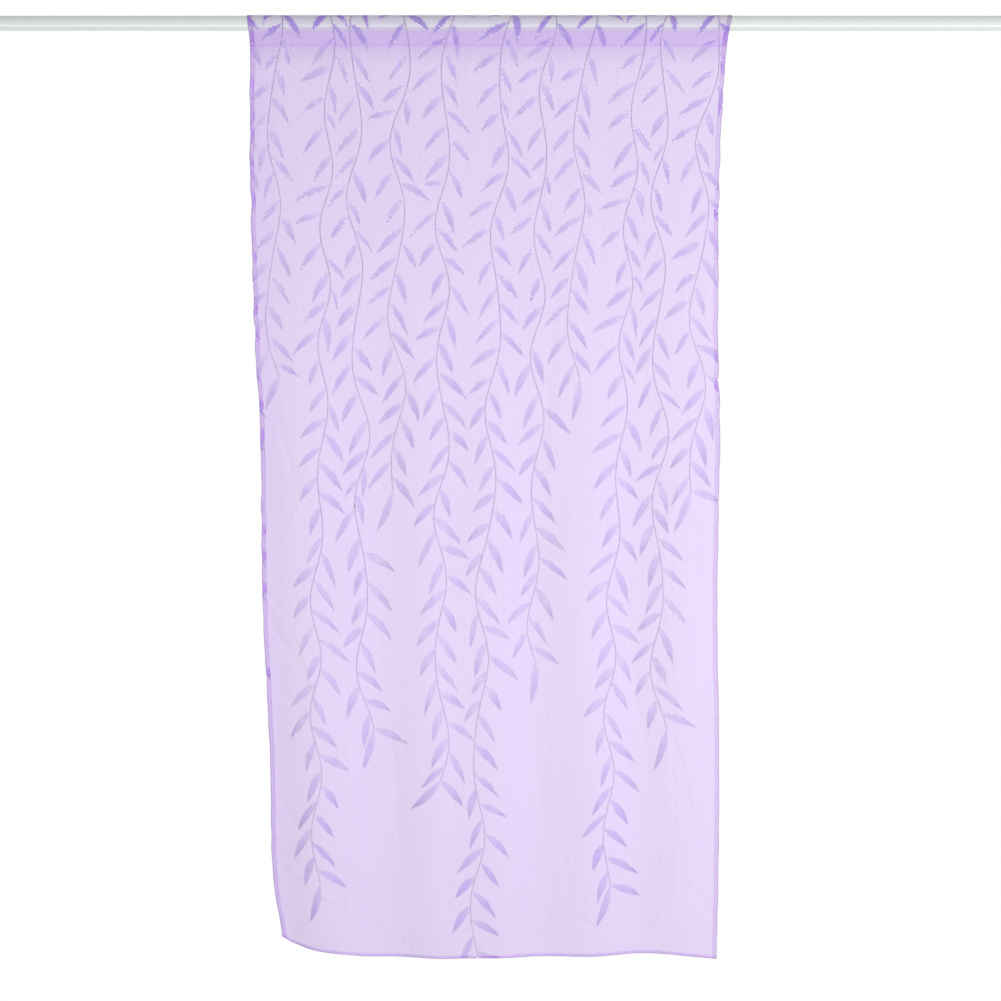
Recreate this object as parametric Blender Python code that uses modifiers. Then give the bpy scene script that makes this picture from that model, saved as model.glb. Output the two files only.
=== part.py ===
"""A rod pocket sheer curtain hanging on a plain round rod.

One length of voile is folded over at its top and sewn down to itself, which makes a pocket, and
the rod runs through that pocket. The rod is a steel tube with a plain cap pushed into each end.

Sizes are in metres. The origin is the middle of the rod's left end face. X runs along the rod,
-Y is the side that faces the room, and Z is up.
"""

import math
from collections import namedtuple

import bmesh
import bpy

# The rod.
ROD_LENGTH = 2.300  # from one end face to the other, with both caps in place
ROD_RADIUS = 0.016
ROD_WALL = 0.0008
ROD_SIDES = 48
CLEARANCE = 0.0003  # between two pieces that touch

# A cap: a flange as wide as the rod, and a plug that goes into the tube.
CAP_FLANGE = 0.004
CAP_PLUG = 0.018
CAP_ROUNDING = 0.0012

# The cloth. Where it is turned in and sewn it is thicker: along both sides, along the foot, and
# in the turned edge just below the pocket's seam.
CLOTH_THICKNESS = 0.0012
HEM_THICKNESS = 0.0020
SIDE_HEM = 0.010
FOOT_HEM = 0.006
TURNED_EDGE = 0.004
HEM_STEP = 0.002  # over which a hem thins to the single cloth
CURTAIN_DROP = 2.000  # from the top of the pocket to the foot
POCKET_DROP = 0.064  # from the top of the pocket to its seam

# The slight ripple of the pocket's seam, which dies out above and below it. Its two waves are
# given in radians over the cloth's whole width.
SEAM_RIPPLE = 0.0015
RIPPLE_TURN = 31.0
RIPPLE_SWELL = 13.0
RIPPLE_ENDS = 3 * POCKET_DROP  # the drop where the panel is free of it

WELD = 0.00001  # points nearer than this are one point

MIDDLE = ROD_LENGTH / 2
CLOTH_RADIUS = ROD_RADIUS + CLEARANCE + HEM_THICKNESS / 2  # its hems are what touch the rod
TOP = CLOTH_RADIUS + CLOTH_THICKNESS / 2

# How finely the cloth is divided: across between the side hems, down the panel between the
# seam and the foot hem, round the rod, and down each leg of the pocket.
INNER_COLUMNS = 38
INNER_ROWS = 26
WRAP_ROWS = 12
LEG_ROWS = 3

# The two side edges, measured from the rod's middle. The cloth is at full width on the rod and
# draws in as its folds deepen.
Side = namedtuple("Side", "drop left right")
SIDES = (
    Side(0.000, -0.537, 0.491),
    Side(0.064, -0.531, 0.480),
    Side(0.300, -0.531, 0.465),
    Side(0.680, -0.521, 0.461),
    Side(0.900, -0.509, 0.465),
    Side(1.240, -0.505, 0.459),
    Side(1.580, -0.489, 0.463),
    Side(1.850, -0.483, 0.461),
    Side(2.000, -0.463, 0.457),
)

# How far the foot is lifted off a level line: its left corner curls up.
Foot = namedtuple("Foot", "across lift")
FOOT_LINE = (
    Foot(0.000, 0.045),
    Foot(0.020, 0.034),
    Foot(0.065, 0.020),
    Foot(0.145, 0.010),
    Foot(0.215, 0.003),
    Foot(0.550, 0.002),
    Foot(0.750, 0.007),
    Foot(0.890, 0.010),
    Foot(1.000, 0.000),
)
LIFT_STARTS = 1.650  # the drop below which the lift of the foot is felt

# The soft upright folds. A ridge has a depth below zero, because it stands out into the room.
# across and half_width are shares of the cloth's width, and lean is the shift in across for each
# metre down. A fold starts at a drop, and keeps its whole depth from FOLDS_DEEP to the foot.
FOLDS_DEEP = 1.450
Fold = namedtuple("Fold", "across lean half_width depth starts")
FOLDS = (
    Fold(0.020, 0.012, 0.045, 0.015, 0.30),
    Fold(0.115, 0.010, 0.060, -0.018, 0.15),
    Fold(0.255, -0.008, 0.065, 0.017, 0.10),
    Fold(0.365, 0.014, 0.055, -0.016, 0.30),
    Fold(0.500, -0.010, 0.070, -0.011, 0.12),
    Fold(0.590, 0.006, 0.060, 0.020, 0.25),
    Fold(0.720, 0.004, 0.055, -0.017, 0.35),
    Fold(0.815, 0.010, 0.055, 0.015, 0.15),
    Fold(0.930, 0.004, 0.060, -0.016, 0.25),
)


def between(rows, key):
    """The other columns of a table at key, on a smooth curve through its rows."""
    place = 1
    while place < len(rows) - 1 and rows[place][0] < key:
        place += 1
    before = rows[max(place - 2, 0)]
    low = rows[place - 1]
    high = rows[place]
    after = rows[min(place + 1, len(rows) - 1)]
    t = min(max((key - low[0]) / (high[0] - low[0]), 0.0), 1.0)
    values = []
    for column in range(1, len(low)):
        span = high[0] - low[0]
        slope_in = (high[column] - before[column]) / (high[0] - before[0]) * span
        slope_out = (after[column] - low[column]) / (after[0] - low[0]) * span
        values.append(
            (2 * t**3 - 3 * t**2 + 1) * low[column]
            + (t**3 - 2 * t**2 + t) * slope_in
            + (3 * t**2 - 2 * t**3) * high[column]
            + (t**3 - t**2) * slope_out
        )
    return values


def ease(value, start, end):
    """0 before start, 1 after end, and a soft rise between them."""
    t = min(max((value - start) / (end - start), 0.0), 1.0)
    return t * t * (3 - 2 * t)


def fold_depth(across, drop):
    depth = 0.0
    for fold in FOLDS:
        centre = fold.across + fold.lean * (drop - CURTAIN_DROP)
        grown = ease(drop, fold.starts, FOLDS_DEEP)
        depth += fold.depth * grown * math.exp(-(((across - centre) / fold.half_width) ** 2))
    return depth


def place_across(across, drop):
    left, right = between(SIDES, drop)
    return MIDDLE + left + (right - left) * across


def seam_ripple(across):
    return SEAM_RIPPLE * math.sin(across * RIPPLE_TURN) * math.cos(across * RIPPLE_SWELL)


def panel_point(across, drop):
    """A point of the cloth's middle surface below the pocket."""
    lift = between(FOOT_LINE, across)[0] * ease(drop, LIFT_STARTS, CURTAIN_DROP)
    ripple = seam_ripple(across) * (1 - ease(drop, POCKET_DROP, RIPPLE_ENDS))
    return (
        place_across(across, drop),
        fold_depth(across, drop) + ripple,
        TOP - drop + lift,
    )


def pocket_section():
    """The pocket seen from its side, as (y, z): up the back from the seam, over, and down the
    front, short of the seam."""
    seam = TOP - POCKET_DROP
    leaves = math.acos(CLOTH_RADIUS / -seam)  # from straight down to where a leg meets the rod
    step = (math.tau - 2 * leaves) / WRAP_ROWS
    radius = CLOTH_RADIUS / math.cos(step / 2)
    wrap = []
    for row in range(WRAP_ROWS + 1):
        turn = leaves + row * step
        wrap.append((radius * math.sin(turn), -radius * math.cos(turn)))
    back = []
    for row in range(LEG_ROWS):
        share = row / LEG_ROWS
        back.append((wrap[0][0] * share, seam + (wrap[0][1] - seam) * share))
    front = [(-y, z) for y, z in reversed(back)]
    return back + wrap + front


def pocket_point(across, y, z):
    """A point of the pocket, with the seam's slight ripple fading out towards the rod."""
    drop = TOP - z
    ripple = seam_ripple(across) * ease(drop, TOP, POCKET_DROP)
    return place_across(across, drop), y + ripple, z


def material(name, colour, roughness, metallic=0.0, alpha=1.0):
    made = bpy.data.materials.new(name)
    made.use_nodes = True
    shader = made.node_tree.nodes["Principled BSDF"]
    shader.inputs["Base Color"].default_value = (*colour, 1.0)
    shader.inputs["Roughness"].default_value = roughness
    shader.inputs["Metallic"].default_value = metallic
    shader.inputs["Alpha"].default_value = alpha
    return made


def add_object(name, mesh, finish, collection, parent):
    made = bpy.data.objects.new(name, mesh)
    mesh.materials.append(finish)
    collection.objects.link(made)
    made.parent = parent
    return made


def turned(name, profile, closed, finish, collection, parent):
    """A piece turned round X from a profile of (along, radius) points."""
    points = [(along, 0.0, radius) for along, radius in profile]
    edges = [(i, i + 1) for i in range(len(points) - 1)]
    if closed:
        edges.append((len(points) - 1, 0))
    mesh = bpy.data.meshes.new(name)
    mesh.from_pydata(points, edges, [])
    piece = add_object(name, mesh, finish, collection, parent)
    turn = piece.modifiers.new("Turn", "SCREW")
    turn.axis = "X"
    turn.steps = ROD_SIDES
    turn.render_steps = ROD_SIDES
    turn.use_merge_vertices = True
    turn.merge_threshold = WELD
    turn.use_smooth_shade = False
    return piece


def add_rod(finish, collection, parent):
    start = CAP_FLANGE + CLEARANCE
    end = ROD_LENGTH - start
    bore = ROD_RADIUS - ROD_WALL
    profile = ((start, bore), (end, bore), (end, ROD_RADIUS), (start, ROD_RADIUS))
    return turned("rod_tube", profile, True, finish, collection, parent)


def add_cap(name, at, facing, finish, collection, parent):
    """A cap whose outer face is at X = at, with its plug running the way facing points."""
    plug_radius = ROD_RADIUS - ROD_WALL - CLEARANCE
    outline = (
        (0.0, 0.0),
        (0.0, ROD_RADIUS - CAP_ROUNDING),
        (CAP_ROUNDING, ROD_RADIUS),
        (CAP_FLANGE, ROD_RADIUS),
        (CAP_FLANGE, plug_radius),
        (CAP_FLANGE + CAP_PLUG - CAP_ROUNDING, plug_radius),
        (CAP_FLANGE + CAP_PLUG, plug_radius - CAP_ROUNDING),
        (CAP_FLANGE + CAP_PLUG, 0.0),
    )
    profile = [(at + facing * along, radius) for along, radius in outline]
    if facing > 0:
        profile.reverse()
    return turned(name, profile, False, finish, collection, parent)


def divided(start, end, parts):
    return [start + (end - start) * i / parts for i in range(parts + 1)]


def column_places():
    """Where the grid's columns lie across the cloth, as (share of its width, hemmed)."""
    width = SIDES[0].right - SIDES[0].left
    hem = SIDE_HEM / width
    thinned = hem + HEM_STEP / width
    inner = [(across, False) for across in divided(thinned, 1 - thinned, INNER_COLUMNS)]
    return [(0.0, True), (hem, True)] + inner + [(1 - hem, True), (1.0, True)]


def panel_drops():
    """Where the grid's rows lie down the panel below the seam, as (drop, hemmed)."""
    edge = POCKET_DROP + TURNED_EDGE
    hem = CURTAIN_DROP - FOOT_HEM
    inner = [(drop, False) for drop in divided(edge + HEM_STEP, hem - HEM_STEP, INNER_ROWS)]
    return [(edge, True)] + inner + [(hem, True), (CURTAIN_DROP, True)]


def cloth_sheet():
    """The cloth's middle surface: a grid that is folded over, its first row sewn to the seam."""
    section = pocket_section()
    section.append(section[0])
    drops = panel_drops()
    columns = column_places()
    rows = len(section) + len(drops)
    sheet = bmesh.new()
    bmesh.ops.create_grid(sheet, x_segments=len(columns) - 1, y_segments=rows - 1, size=0.5)
    hem = sheet.verts.layers.deform.verify()
    for vert in sheet.verts:
        across, side_hemmed = columns[round((vert.co.x + 0.5) * (len(columns) - 1))]
        row = round((vert.co.y + 0.5) * (rows - 1))
        if row < len(section):
            hemmed = row == len(section) - 1
            vert.co = pocket_point(across, *section[row])
        else:
            drop, hemmed = drops[row - len(section)]
            vert.co = panel_point(across, drop)
        vert[hem][0] = 1.0 if side_hemmed or hemmed else 0.0
    bmesh.ops.remove_doubles(sheet, verts=sheet.verts, dist=WELD)
    bmesh.ops.recalc_face_normals(sheet, faces=sheet.faces)
    return sheet


def add_curtain(finish, collection, parent):
    sheet = cloth_sheet()
    mesh = bpy.data.meshes.new("curtain_panel")
    sheet.to_mesh(mesh)
    sheet.free()
    panel = add_object("curtain_panel", mesh, finish, collection, parent)
    panel.vertex_groups.new(name="hem")
    cloth = panel.modifiers.new("Cloth thickness", "SOLIDIFY")
    cloth.solidify_mode = "NON_MANIFOLD"
    cloth.nonmanifold_thickness_mode = "FIXED"
    cloth.thickness = HEM_THICKNESS
    cloth.offset = 0.0
    cloth.vertex_group = "hem"
    cloth.thickness_vertex_group = CLOTH_THICKNESS / HEM_THICKNESS
    mesh.shade_smooth()
    return panel


def main():
    for old in list(bpy.data.objects):
        bpy.data.objects.remove(old)
    collection = bpy.data.collections.new("rod_pocket_curtain")
    bpy.context.scene.collection.children.link(collection)
    parent = bpy.data.objects.new("curtain_on_rod", None)
    collection.objects.link(parent)

    voile = material("voile", (0.78, 0.69, 0.93), 0.85, alpha=0.6)
    lacquer = material("lacquer", (0.80, 0.84, 0.81), 0.25)
    plastic = material("cap_plastic", (0.80, 0.83, 0.81), 0.40)

    add_rod(lacquer, collection, parent)
    add_cap("rod_cap_left", 0.0, 1, plastic, collection, parent)
    add_cap("rod_cap_right", ROD_LENGTH, -1, plastic, collection, parent)
    add_curtain(voile, collection, parent)


main()
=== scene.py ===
# %% [markdown]
# # A rod pocket sheer curtain
#
# This curtain is one length of voile, a cloth so open that light and the wall behind come
# through it. Its sides and foot are turned in and sewn as narrow hems, and its top is folded over
# to the back and sewn down, which makes a pocket for the rod. Willow branches are woven into it
# more densely than the ground, so they show as deeper shapes that hang from the top.
#
# The lesson works as a sewing room does. The cloth is first laid out flat and its pattern is set
# out on it. Then one function hangs it: it says where each point of the flat cloth lies on the
# rod. After that come the stitches, the rod, the finishes and the light.

import math

import bmesh
import bpy
import numpy as np
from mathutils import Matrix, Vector
from mathutils.geometry import delaunay_2d_cdt


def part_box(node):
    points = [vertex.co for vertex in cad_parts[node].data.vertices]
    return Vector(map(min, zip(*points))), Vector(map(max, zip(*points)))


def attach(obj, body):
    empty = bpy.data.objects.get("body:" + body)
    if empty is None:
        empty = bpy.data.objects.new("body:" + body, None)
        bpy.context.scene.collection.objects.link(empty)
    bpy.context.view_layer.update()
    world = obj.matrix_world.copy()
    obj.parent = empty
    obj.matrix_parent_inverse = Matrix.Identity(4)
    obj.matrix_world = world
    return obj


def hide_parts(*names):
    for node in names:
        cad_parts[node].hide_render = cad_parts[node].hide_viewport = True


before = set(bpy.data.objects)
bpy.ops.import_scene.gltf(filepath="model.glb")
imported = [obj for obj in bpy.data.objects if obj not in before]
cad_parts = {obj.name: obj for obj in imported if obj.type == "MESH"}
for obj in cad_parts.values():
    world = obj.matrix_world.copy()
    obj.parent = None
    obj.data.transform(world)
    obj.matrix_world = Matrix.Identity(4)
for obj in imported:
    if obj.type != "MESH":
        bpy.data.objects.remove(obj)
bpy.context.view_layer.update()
rod_low, rod_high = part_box("rod_tube")
panel_low, panel_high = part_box("curtain_panel")
print("nodes:", sorted(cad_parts))
print("curtain panel, metres:", [round(side, 4) for side in panel_high - panel_low])

# %% [markdown]
# ## The camera
#
# The camera comes first, so that each later piece can be looked at. It stands level with the
# middle of the curtain and far away, with a long lens, so the two side edges stay almost
# parallel. The lens follows from two lengths: how far away it is, and how much it takes in.

# %% Place the camera
MIDDLE = (rod_low.x + rod_high.x) / 2
VIEW_WIDTH = 2.121  # what the picture takes in at the rod
VIEW_CENTRE = -1.011  # its height, measured from the rod's axis
CAMERA_AWAY = 7.0


def in_scene(name, data):
    """A new object in the scene that holds this lens, lamp or mesh."""
    made = bpy.data.objects.new(name, data)
    bpy.context.scene.collection.objects.link(made)
    return made


lens = bpy.data.cameras.new("long_lens")
lens.angle = 2 * math.atan(VIEW_WIDTH / 2 / CAMERA_AWAY)
camera = in_scene("camera", lens)
camera.location = (MIDDLE, -CAMERA_AWAY, VIEW_CENTRE)
camera.rotation_euler = (math.radians(90), 0, 0)
bpy.context.scene.camera = camera
print("angle of view, degrees:", round(math.degrees(lens.angle), 2))

# %% [markdown]
# ## The sizes of the cloth
#
# A curtain maker knows two sets of sizes: the finished ones, and those of the cut, which also
# holds what is turned in. A double hem takes twice its own width, because it is turned twice.
# The pocket takes the cloth's own way up, over the rod and down again, which is longer than the
# pocket is deep. In this lesson "x" runs across the flat cloth from its left finished edge, and
# "down" runs along it from the line that lies on top of the rod.

# %% Sizes of the cloth
CLOTH_RADIUS = 0.0173  # from the rod's axis to the cloth that lies on it
CLOTH_WIDTH = 1.011  # finished, laid flat
CURTAIN_DROP = 2.000  # from the top of the pocket to the foot
POCKET_DROP = 0.064  # from the top of the pocket to its seam
SIDE_HEM = 0.010
FOOT_HEM = 0.006
TURNED_EDGE = 0.004  # turned under below the pocket's seam
TOP = panel_high.z

SEAM = TOP - POCKET_DROP
LEG = math.sqrt(SEAM**2 - CLOTH_RADIUS**2)
WRAP = (math.pi - math.acos(CLOTH_RADIUS / -SEAM)) * CLOTH_RADIUS
POCKET_REACH = WRAP + LEG
FOOT = POCKET_REACH + CURTAIN_DROP - POCKET_DROP
BACK = POCKET_REACH + TURNED_EDGE

# %% [markdown]
# ## How the curtain hangs
#
# Voile is light and limp. Under a flat pocket it falls in broad, shallow folds that deepen
# towards the foot, and as they deepen the side edges draw in. Here the folds are the ones that
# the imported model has, given by the same few numbers: where each fold is, how wide and deep it
# is, and where it begins. A simulation could find such folds too, but it would not keep these.

# %% The side edges, the foot and the folds
# Each row of SIDES is a drop, and where the left and right edges are from the middle.
SIDES = (
    (0.000, -0.537, 0.491),
    (0.064, -0.531, 0.480),
    (0.300, -0.531, 0.465),
    (0.680, -0.521, 0.461),
    (0.900, -0.509, 0.465),
    (1.240, -0.505, 0.459),
    (1.580, -0.489, 0.463),
    (1.850, -0.483, 0.461),
    (2.000, -0.463, 0.457),
)
# Each row of FOOT_LINE is a share of the width, and how far the foot is lifted there.
FOOT_LINE = (
    (0.000, 0.045),
    (0.020, 0.034),
    (0.065, 0.020),
    (0.145, 0.010),
    (0.215, 0.003),
    (0.550, 0.002),
    (0.750, 0.007),
    (0.890, 0.010),
    (1.000, 0.000),
)
LIFT_STARTS = 1.650  # the drop below which the lift of the foot is felt
FOLDS_DEEP = 1.450  # the drop from which each fold has its whole depth
# Each row of FOLDS is its place across, lean, half width, depth, and the drop where it starts.
# A depth below zero stands out into the room.
FOLDS = (
    (0.020, 0.012, 0.045, 0.015, 0.30),
    (0.115, 0.010, 0.060, -0.018, 0.15),
    (0.255, -0.008, 0.065, 0.017, 0.10),
    (0.365, 0.014, 0.055, -0.016, 0.30),
    (0.500, -0.010, 0.070, -0.011, 0.12),
    (0.590, 0.006, 0.060, 0.020, 0.25),
    (0.720, 0.004, 0.055, -0.017, 0.35),
    (0.815, 0.010, 0.055, 0.015, 0.15),
    (0.930, 0.004, 0.060, -0.016, 0.25),
)


def between(rows, key):
    """The other columns of a table at each key, on a smooth curve through its rows."""
    rows = np.array(rows)
    low = np.clip(np.searchsorted(rows[:, 0], key) - 1, 0, len(rows) - 2)
    high = low + 1
    before = np.maximum(low - 1, 0)
    after = np.minimum(high + 1, len(rows) - 1)
    span = (rows[high, 0] - rows[low, 0])[:, None]
    t = np.clip((key - rows[low, 0])[:, None] / span, 0, 1)
    slope_in = (rows[high, 1:] - rows[before, 1:]) / (rows[high, :1] - rows[before, :1]) * span
    slope_out = (rows[after, 1:] - rows[low, 1:]) / (rows[after, :1] - rows[low, :1]) * span
    return (
        (2 * t**3 - 3 * t**2 + 1) * rows[low, 1:]
        + (t**3 - 2 * t**2 + t) * slope_in
        + (3 * t**2 - 2 * t**3) * rows[high, 1:]
        + (t**3 - t**2) * slope_out
    )


def ease(value, start, end):
    """0 before start, 1 after end, and a soft rise between them."""
    t = np.clip((value - start) / (end - start), 0, 1)
    return t * t * (3 - 2 * t)


def fold_depth(across, drop):
    """How far the broad folds set the cloth back from the room."""
    depth = np.zeros_like(across)
    for place, lean, half_width, deep, starts in FOLDS:
        centre = place + lean * (drop - CURTAIN_DROP)
        grown = deep * ease(drop, starts, FOLDS_DEEP)
        depth += grown * np.exp(-(((across - centre) / half_width) ** 2))
    return depth


print("deepest fold, millimetres:", max(abs(fold[3]) for fold in FOLDS) * 1000)

# %% [markdown]
# ## Creases and puckers
#
# Folds alone look poured. Real voile keeps the marks of how it was packed and handled: long soft
# creases where it was folded, short slanting ones that a hand pressed in, and tiny puckers where
# the hem's thread pulls the cloth together. They are added one by one, each as a soft trough or
# ridge with its own place, slant, length and depth, so that no two are the same.

# %% The creases and the puckers
# Each row: x, down, slant in degrees from upright, half length, half width, depth, bend.
# A depth below zero stands out into the room. Lengths are in metres, and bend is per metre.
CREASES = (
    (0.055, 0.93, 14, 0.16, 0.0076, 0.0030, 0.9),
    (0.085, 1.05, -22, 0.12, 0.0068, -0.0024, -1.2),
    (0.040, 1.34, 30, 0.14, 0.0085, 0.0041, 1.4),
    (0.105, 1.43, 12, 0.17, 0.0076, -0.0034, -0.8),
    (0.058, 1.47, 47, 0.09, 0.0068, 0.0034, 0.6),
    (0.105, 1.88, 58, 0.15, 0.0085, -0.0044, 0.8),
    (0.190, 1.93, 66, 0.16, 0.0093, 0.0037, -0.6),
    (0.065, 1.74, 40, 0.12, 0.0076, 0.0034, 0.7),
    (0.150, 0.52, 4, 0.30, 0.0102, 0.0022, 0.1),
    (0.215, 1.30, -3, 0.34, 0.0085, -0.0037, 0.1),
    (0.285, 1.68, 2, 0.24, 0.0076, 0.0031, -0.2),
    (0.250, 1.62, 75, 0.11, 0.0068, 0.0020, 0.4),
    (0.400, 1.86, -12, 0.11, 0.0068, 0.0044, 1.6),
    (0.440, 1.95, -38, 0.08, 0.0059, -0.0034, -1.0),
    (0.360, 1.00, 7, 0.26, 0.0093, 0.0019, 0.2),
    (0.425, 0.66, -5, 0.30, 0.0102, -0.0019, 0.1),
    (0.510, 1.90, 24, 0.10, 0.0068, 0.0034, -0.9),
    (0.575, 1.97, -30, 0.07, 0.0059, -0.0031, 1.1),
    (0.545, 1.25, 3, 0.30, 0.0085, -0.0027, -0.1),
    (0.630, 0.84, -6, 0.27, 0.0102, 0.0022, 0.2),
    (0.660, 1.68, 84, 0.18, 0.0068, 0.0027, 0.3),
    (0.820, 1.79, 89, 0.21, 0.0059, -0.0027, -0.1),
    (0.690, 1.93, 62, 0.10, 0.0068, 0.0031, 0.8),
    (0.800, 1.70, 80, 0.14, 0.0059, -0.0020, 0.4),
    (0.820, 1.38, 5, 0.26, 0.0085, 0.0034, 0.2),
    (0.760, 0.45, -4, 0.28, 0.0102, 0.0019, 0.1),
    (0.900, 1.10, -9, 0.22, 0.0085, -0.0024, 0.4),
    (0.930, 1.62, 15, 0.20, 0.0076, 0.0037, -0.7),
    (0.885, 1.92, -28, 0.10, 0.0068, -0.0034, 1.0),
    (0.955, 0.70, 8, 0.24, 0.0085, 0.0022, 0.5),
    (0.960, 1.88, 48, 0.09, 0.0059, 0.0031, -0.8),
    (0.230, 0.30, 2, 0.20, 0.0102, -0.0016, 0.0),
    (0.670, 0.27, -3, 0.18, 0.0102, 0.0016, 0.1),
    (0.066, 1.55, 47, 0.10, 0.0065, -0.0034, 0.4),
    (0.030, 1.26, 40, 0.06, 0.0060, 0.0028, 0.5),
)
PUCKER = 0.0005  # how far a hem's thread pulls the cloth in and out
PUCKER_PITCH = 0.030
WAVER = 0.0009  # how far a side edge strays from its broad course
WAVER_REACH = 0.045  # how far in from the edge this is felt
SEAM_RIPPLE = 0.0015  # the ripple of the pocket's seam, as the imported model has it
PLEATS = 0.0011  # the small upright pleats just under the pocket's seam
# The waves below are sines of x, down or across times a number of radians. The numbers share no
# common measure, so the waves never keep step and no stretch of an edge repeats.


def creases(x, down):
    """How far the creases set the cloth back from the room."""
    height = np.zeros_like(x)
    for place, at, slant, half_length, half_width, depth, bend in CREASES:
        turn = math.radians(slant)
        along = (x - place) * math.sin(turn) + (down - at) * math.cos(turn)
        aside = (x - place) * math.cos(turn) - (down - at) * math.sin(turn) - bend * along**2
        fade = np.clip(1 - (along / half_length) ** 2, 0, 1) ** 2
        height += depth * fade * np.exp(-((aside / half_width) ** 2))
    return height


def puckers(x, down):
    """Small waves that run along the side hems and die out inside them."""
    edge = np.minimum(x, CLOTH_WIDTH - x)
    wave = np.sin(math.tau * down / PUCKER_PITCH + 2.2 * np.sin(down * 17)) * np.sin(down * 5 + 1)
    return PUCKER * wave * np.exp(-((edge / (2 * SIDE_HEM)) ** 2))


def waver(x, down):
    """How far each side edge strays to the left or right of its broad course."""
    left = np.sin(down * 54 + 1.9 * np.sin(down * 11)) + 0.6 * np.sin(down * 93 + 1)
    right = np.sin(down * 47 + 2.3 * np.sin(down * 13 + 2)) + 0.5 * np.sin(down * 101)
    near_left = np.exp(-((x / WAVER_REACH) ** 2))
    near_right = np.exp(-(((CLOTH_WIDTH - x) / WAVER_REACH) ** 2))
    grows = ease(down, POCKET_REACH, 0.2) * (1 - 0.6 * ease(down, 0.5, 1.6))
    return WAVER * (left * near_left + right * near_right) * grows


def seam_ripple(across):
    """The broad, slight ripple of the pocket's seam."""
    return SEAM_RIPPLE * np.sin(across * 31) * np.cos(across * 13)


def pleats(across):
    """Narrow pleats, which come in groups and leave other stretches flat."""
    return PLEATS * np.sin(across * 143 + 2 * np.sin(across * 19)) * np.sin(across * 23 + 1) ** 2


print(len(CREASES), "creases, set by hand")

# %% [markdown]
# ## From the flat cloth to the hung one
#
# First the cloth's own surface: a point (x, down) either lies in the pocket, on the rod or on one
# of the two straight legs under it, or on the panel below the seam. Then the hems. A double hem
# is the cloth turned back twice, so past the finished edge a point comes back the way it went,
# first as the outer layer at the back and then as the layer between. Each layer lies a hair's
# breadth behind the last, which is what makes a hem look deeper in tone: light crosses it three
# times.

# %% Hang the cloth
LAYER = 0.0003  # from one layer of cloth to the next
HALF_TURN = 0.0004  # half the length of cloth that a turned edge takes to go round
NUDGE = 0.0002  # half the distance between two points whose slope is measured
BACK_LAYERS = 2  # how many layers behind the front the pocket's back leg hangs
HEM_LAYERS = 2  # how many layers a double hem has behind the front one
HEM_FADE = 1.2 * SIDE_HEM  # how far in from the edge a side hem's layers are felt
RIPPLE_ENDS = 3 * POCKET_DROP  # the drop where the panel is free of the seam's ripple


def surface(x, down):
    """The single cloth, hung, before its edges are turned: points, one a row."""
    across = x / CLOTH_WIDTH
    front = down >= 0
    way = np.abs(down)
    turn = np.minimum(way, WRAP) / CLOTH_RADIUS
    leg = np.clip((way - WRAP) / LEG, 0, 1)
    below = np.maximum(way - POCKET_REACH, 0)
    drop = np.where(way < POCKET_REACH, 0, POCKET_DROP + below)
    on_panel = front & (below > 0)

    rod_y = np.where(front, -1, 1) * CLOTH_RADIUS * np.sin(turn) * (1 - leg)
    rod_z = CLOTH_RADIUS * np.cos(turn) * (1 - leg) + SEAM * leg - below
    pocket_drop = TOP - rod_z
    left, right = between(SIDES, np.where(on_panel, drop, pocket_drop)).T
    lift = between(FOOT_LINE, across)[:, 0] * ease(drop, LIFT_STARTS, CURTAIN_DROP)

    fading = np.where(on_panel, 1 - ease(drop, POCKET_DROP, RIPPLE_ENDS), leg)
    small = (seam_ripple(across) + pleats(across)) * fading + puckers(x, down) * leg
    deep = np.where(on_panel, fold_depth(across, drop) + creases(x, down), 0)
    side = np.minimum(x, CLOTH_WIDTH - x)
    hems_between = 2 * HEM_LAYERS * (1 - ease(side, SIDE_HEM, HEM_FADE))
    apart = leg * (BACK_LAYERS + hems_between) * np.where(front, 0, LAYER)
    place = MIDDLE + left + (right - left) * across + waver(x, down)
    return np.stack([place, rod_y + small + deep + apart, rod_z + lift], 1)


def turned_in(inside, hem):
    """How far inside the edge a point of a double hem comes to lie, and how many layers behind."""
    where = np.where(inside > -hem, np.abs(inside), 2 * hem + inside)
    first = np.clip(0.5 - inside / 2 / HALF_TURN, 0, 1)
    second = np.clip(0.5 - (inside + hem) / 2 / HALF_TURN, 0, 1)
    return where, HEM_LAYERS * first - second


def facing(points_of, x, down):
    """Which way the cloth faces at each point, out into the room on the panel."""
    right = points_of(x + NUDGE, down) - points_of(x - NUDGE, down)
    lower = points_of(x, down + NUDGE) - points_of(x, down - NUDGE)
    out = np.cross(lower, right)
    return out / np.linalg.norm(out, axis=1, keepdims=True)


def hang(x, down):
    """Where points of the flat cut come to lie, with the hems turned in."""
    x = np.asarray(x, float)
    down = np.asarray(down, float)
    left_half = x < CLOTH_WIDTH / 2
    side, side_layers = turned_in(np.where(left_half, x, CLOTH_WIDTH - x), SIDE_HEM)
    up, foot_layers = turned_in(FOOT - down, FOOT_HEM)
    back = np.abs(down + BACK)
    back_layers = np.clip(0.5 - (down + BACK) / 2 / HALF_TURN, 0, 1)
    x = np.where(left_half, side, CLOTH_WIDTH - side)
    down = np.where(down > 0, FOOT - up, back - BACK)
    over_side = HEM_LAYERS * np.minimum(foot_layers, 1) * (1 - ease(side, SIDE_HEM, HEM_FADE))
    layers = side_layers + foot_layers + over_side + back_layers
    return surface(x, down) - facing(surface, x, down) * (layers * LAYER)[:, None]


corner = hang([0, CLOTH_WIDTH], [FOOT, FOOT])
print("foot corners, metres:", corner.round(3).tolist())

# %% [markdown]
# ## Geometry Nodes helpers
#
# The willow's leaves and the hems' stitches repeat by the hundred along a path, which is work
# for Geometry Nodes. Each tree is written out here in code. These few helpers make a tree with
# named inputs, add a node with its values, and turn the finished result into a plain mesh.

# %% Helpers for node trees


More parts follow.
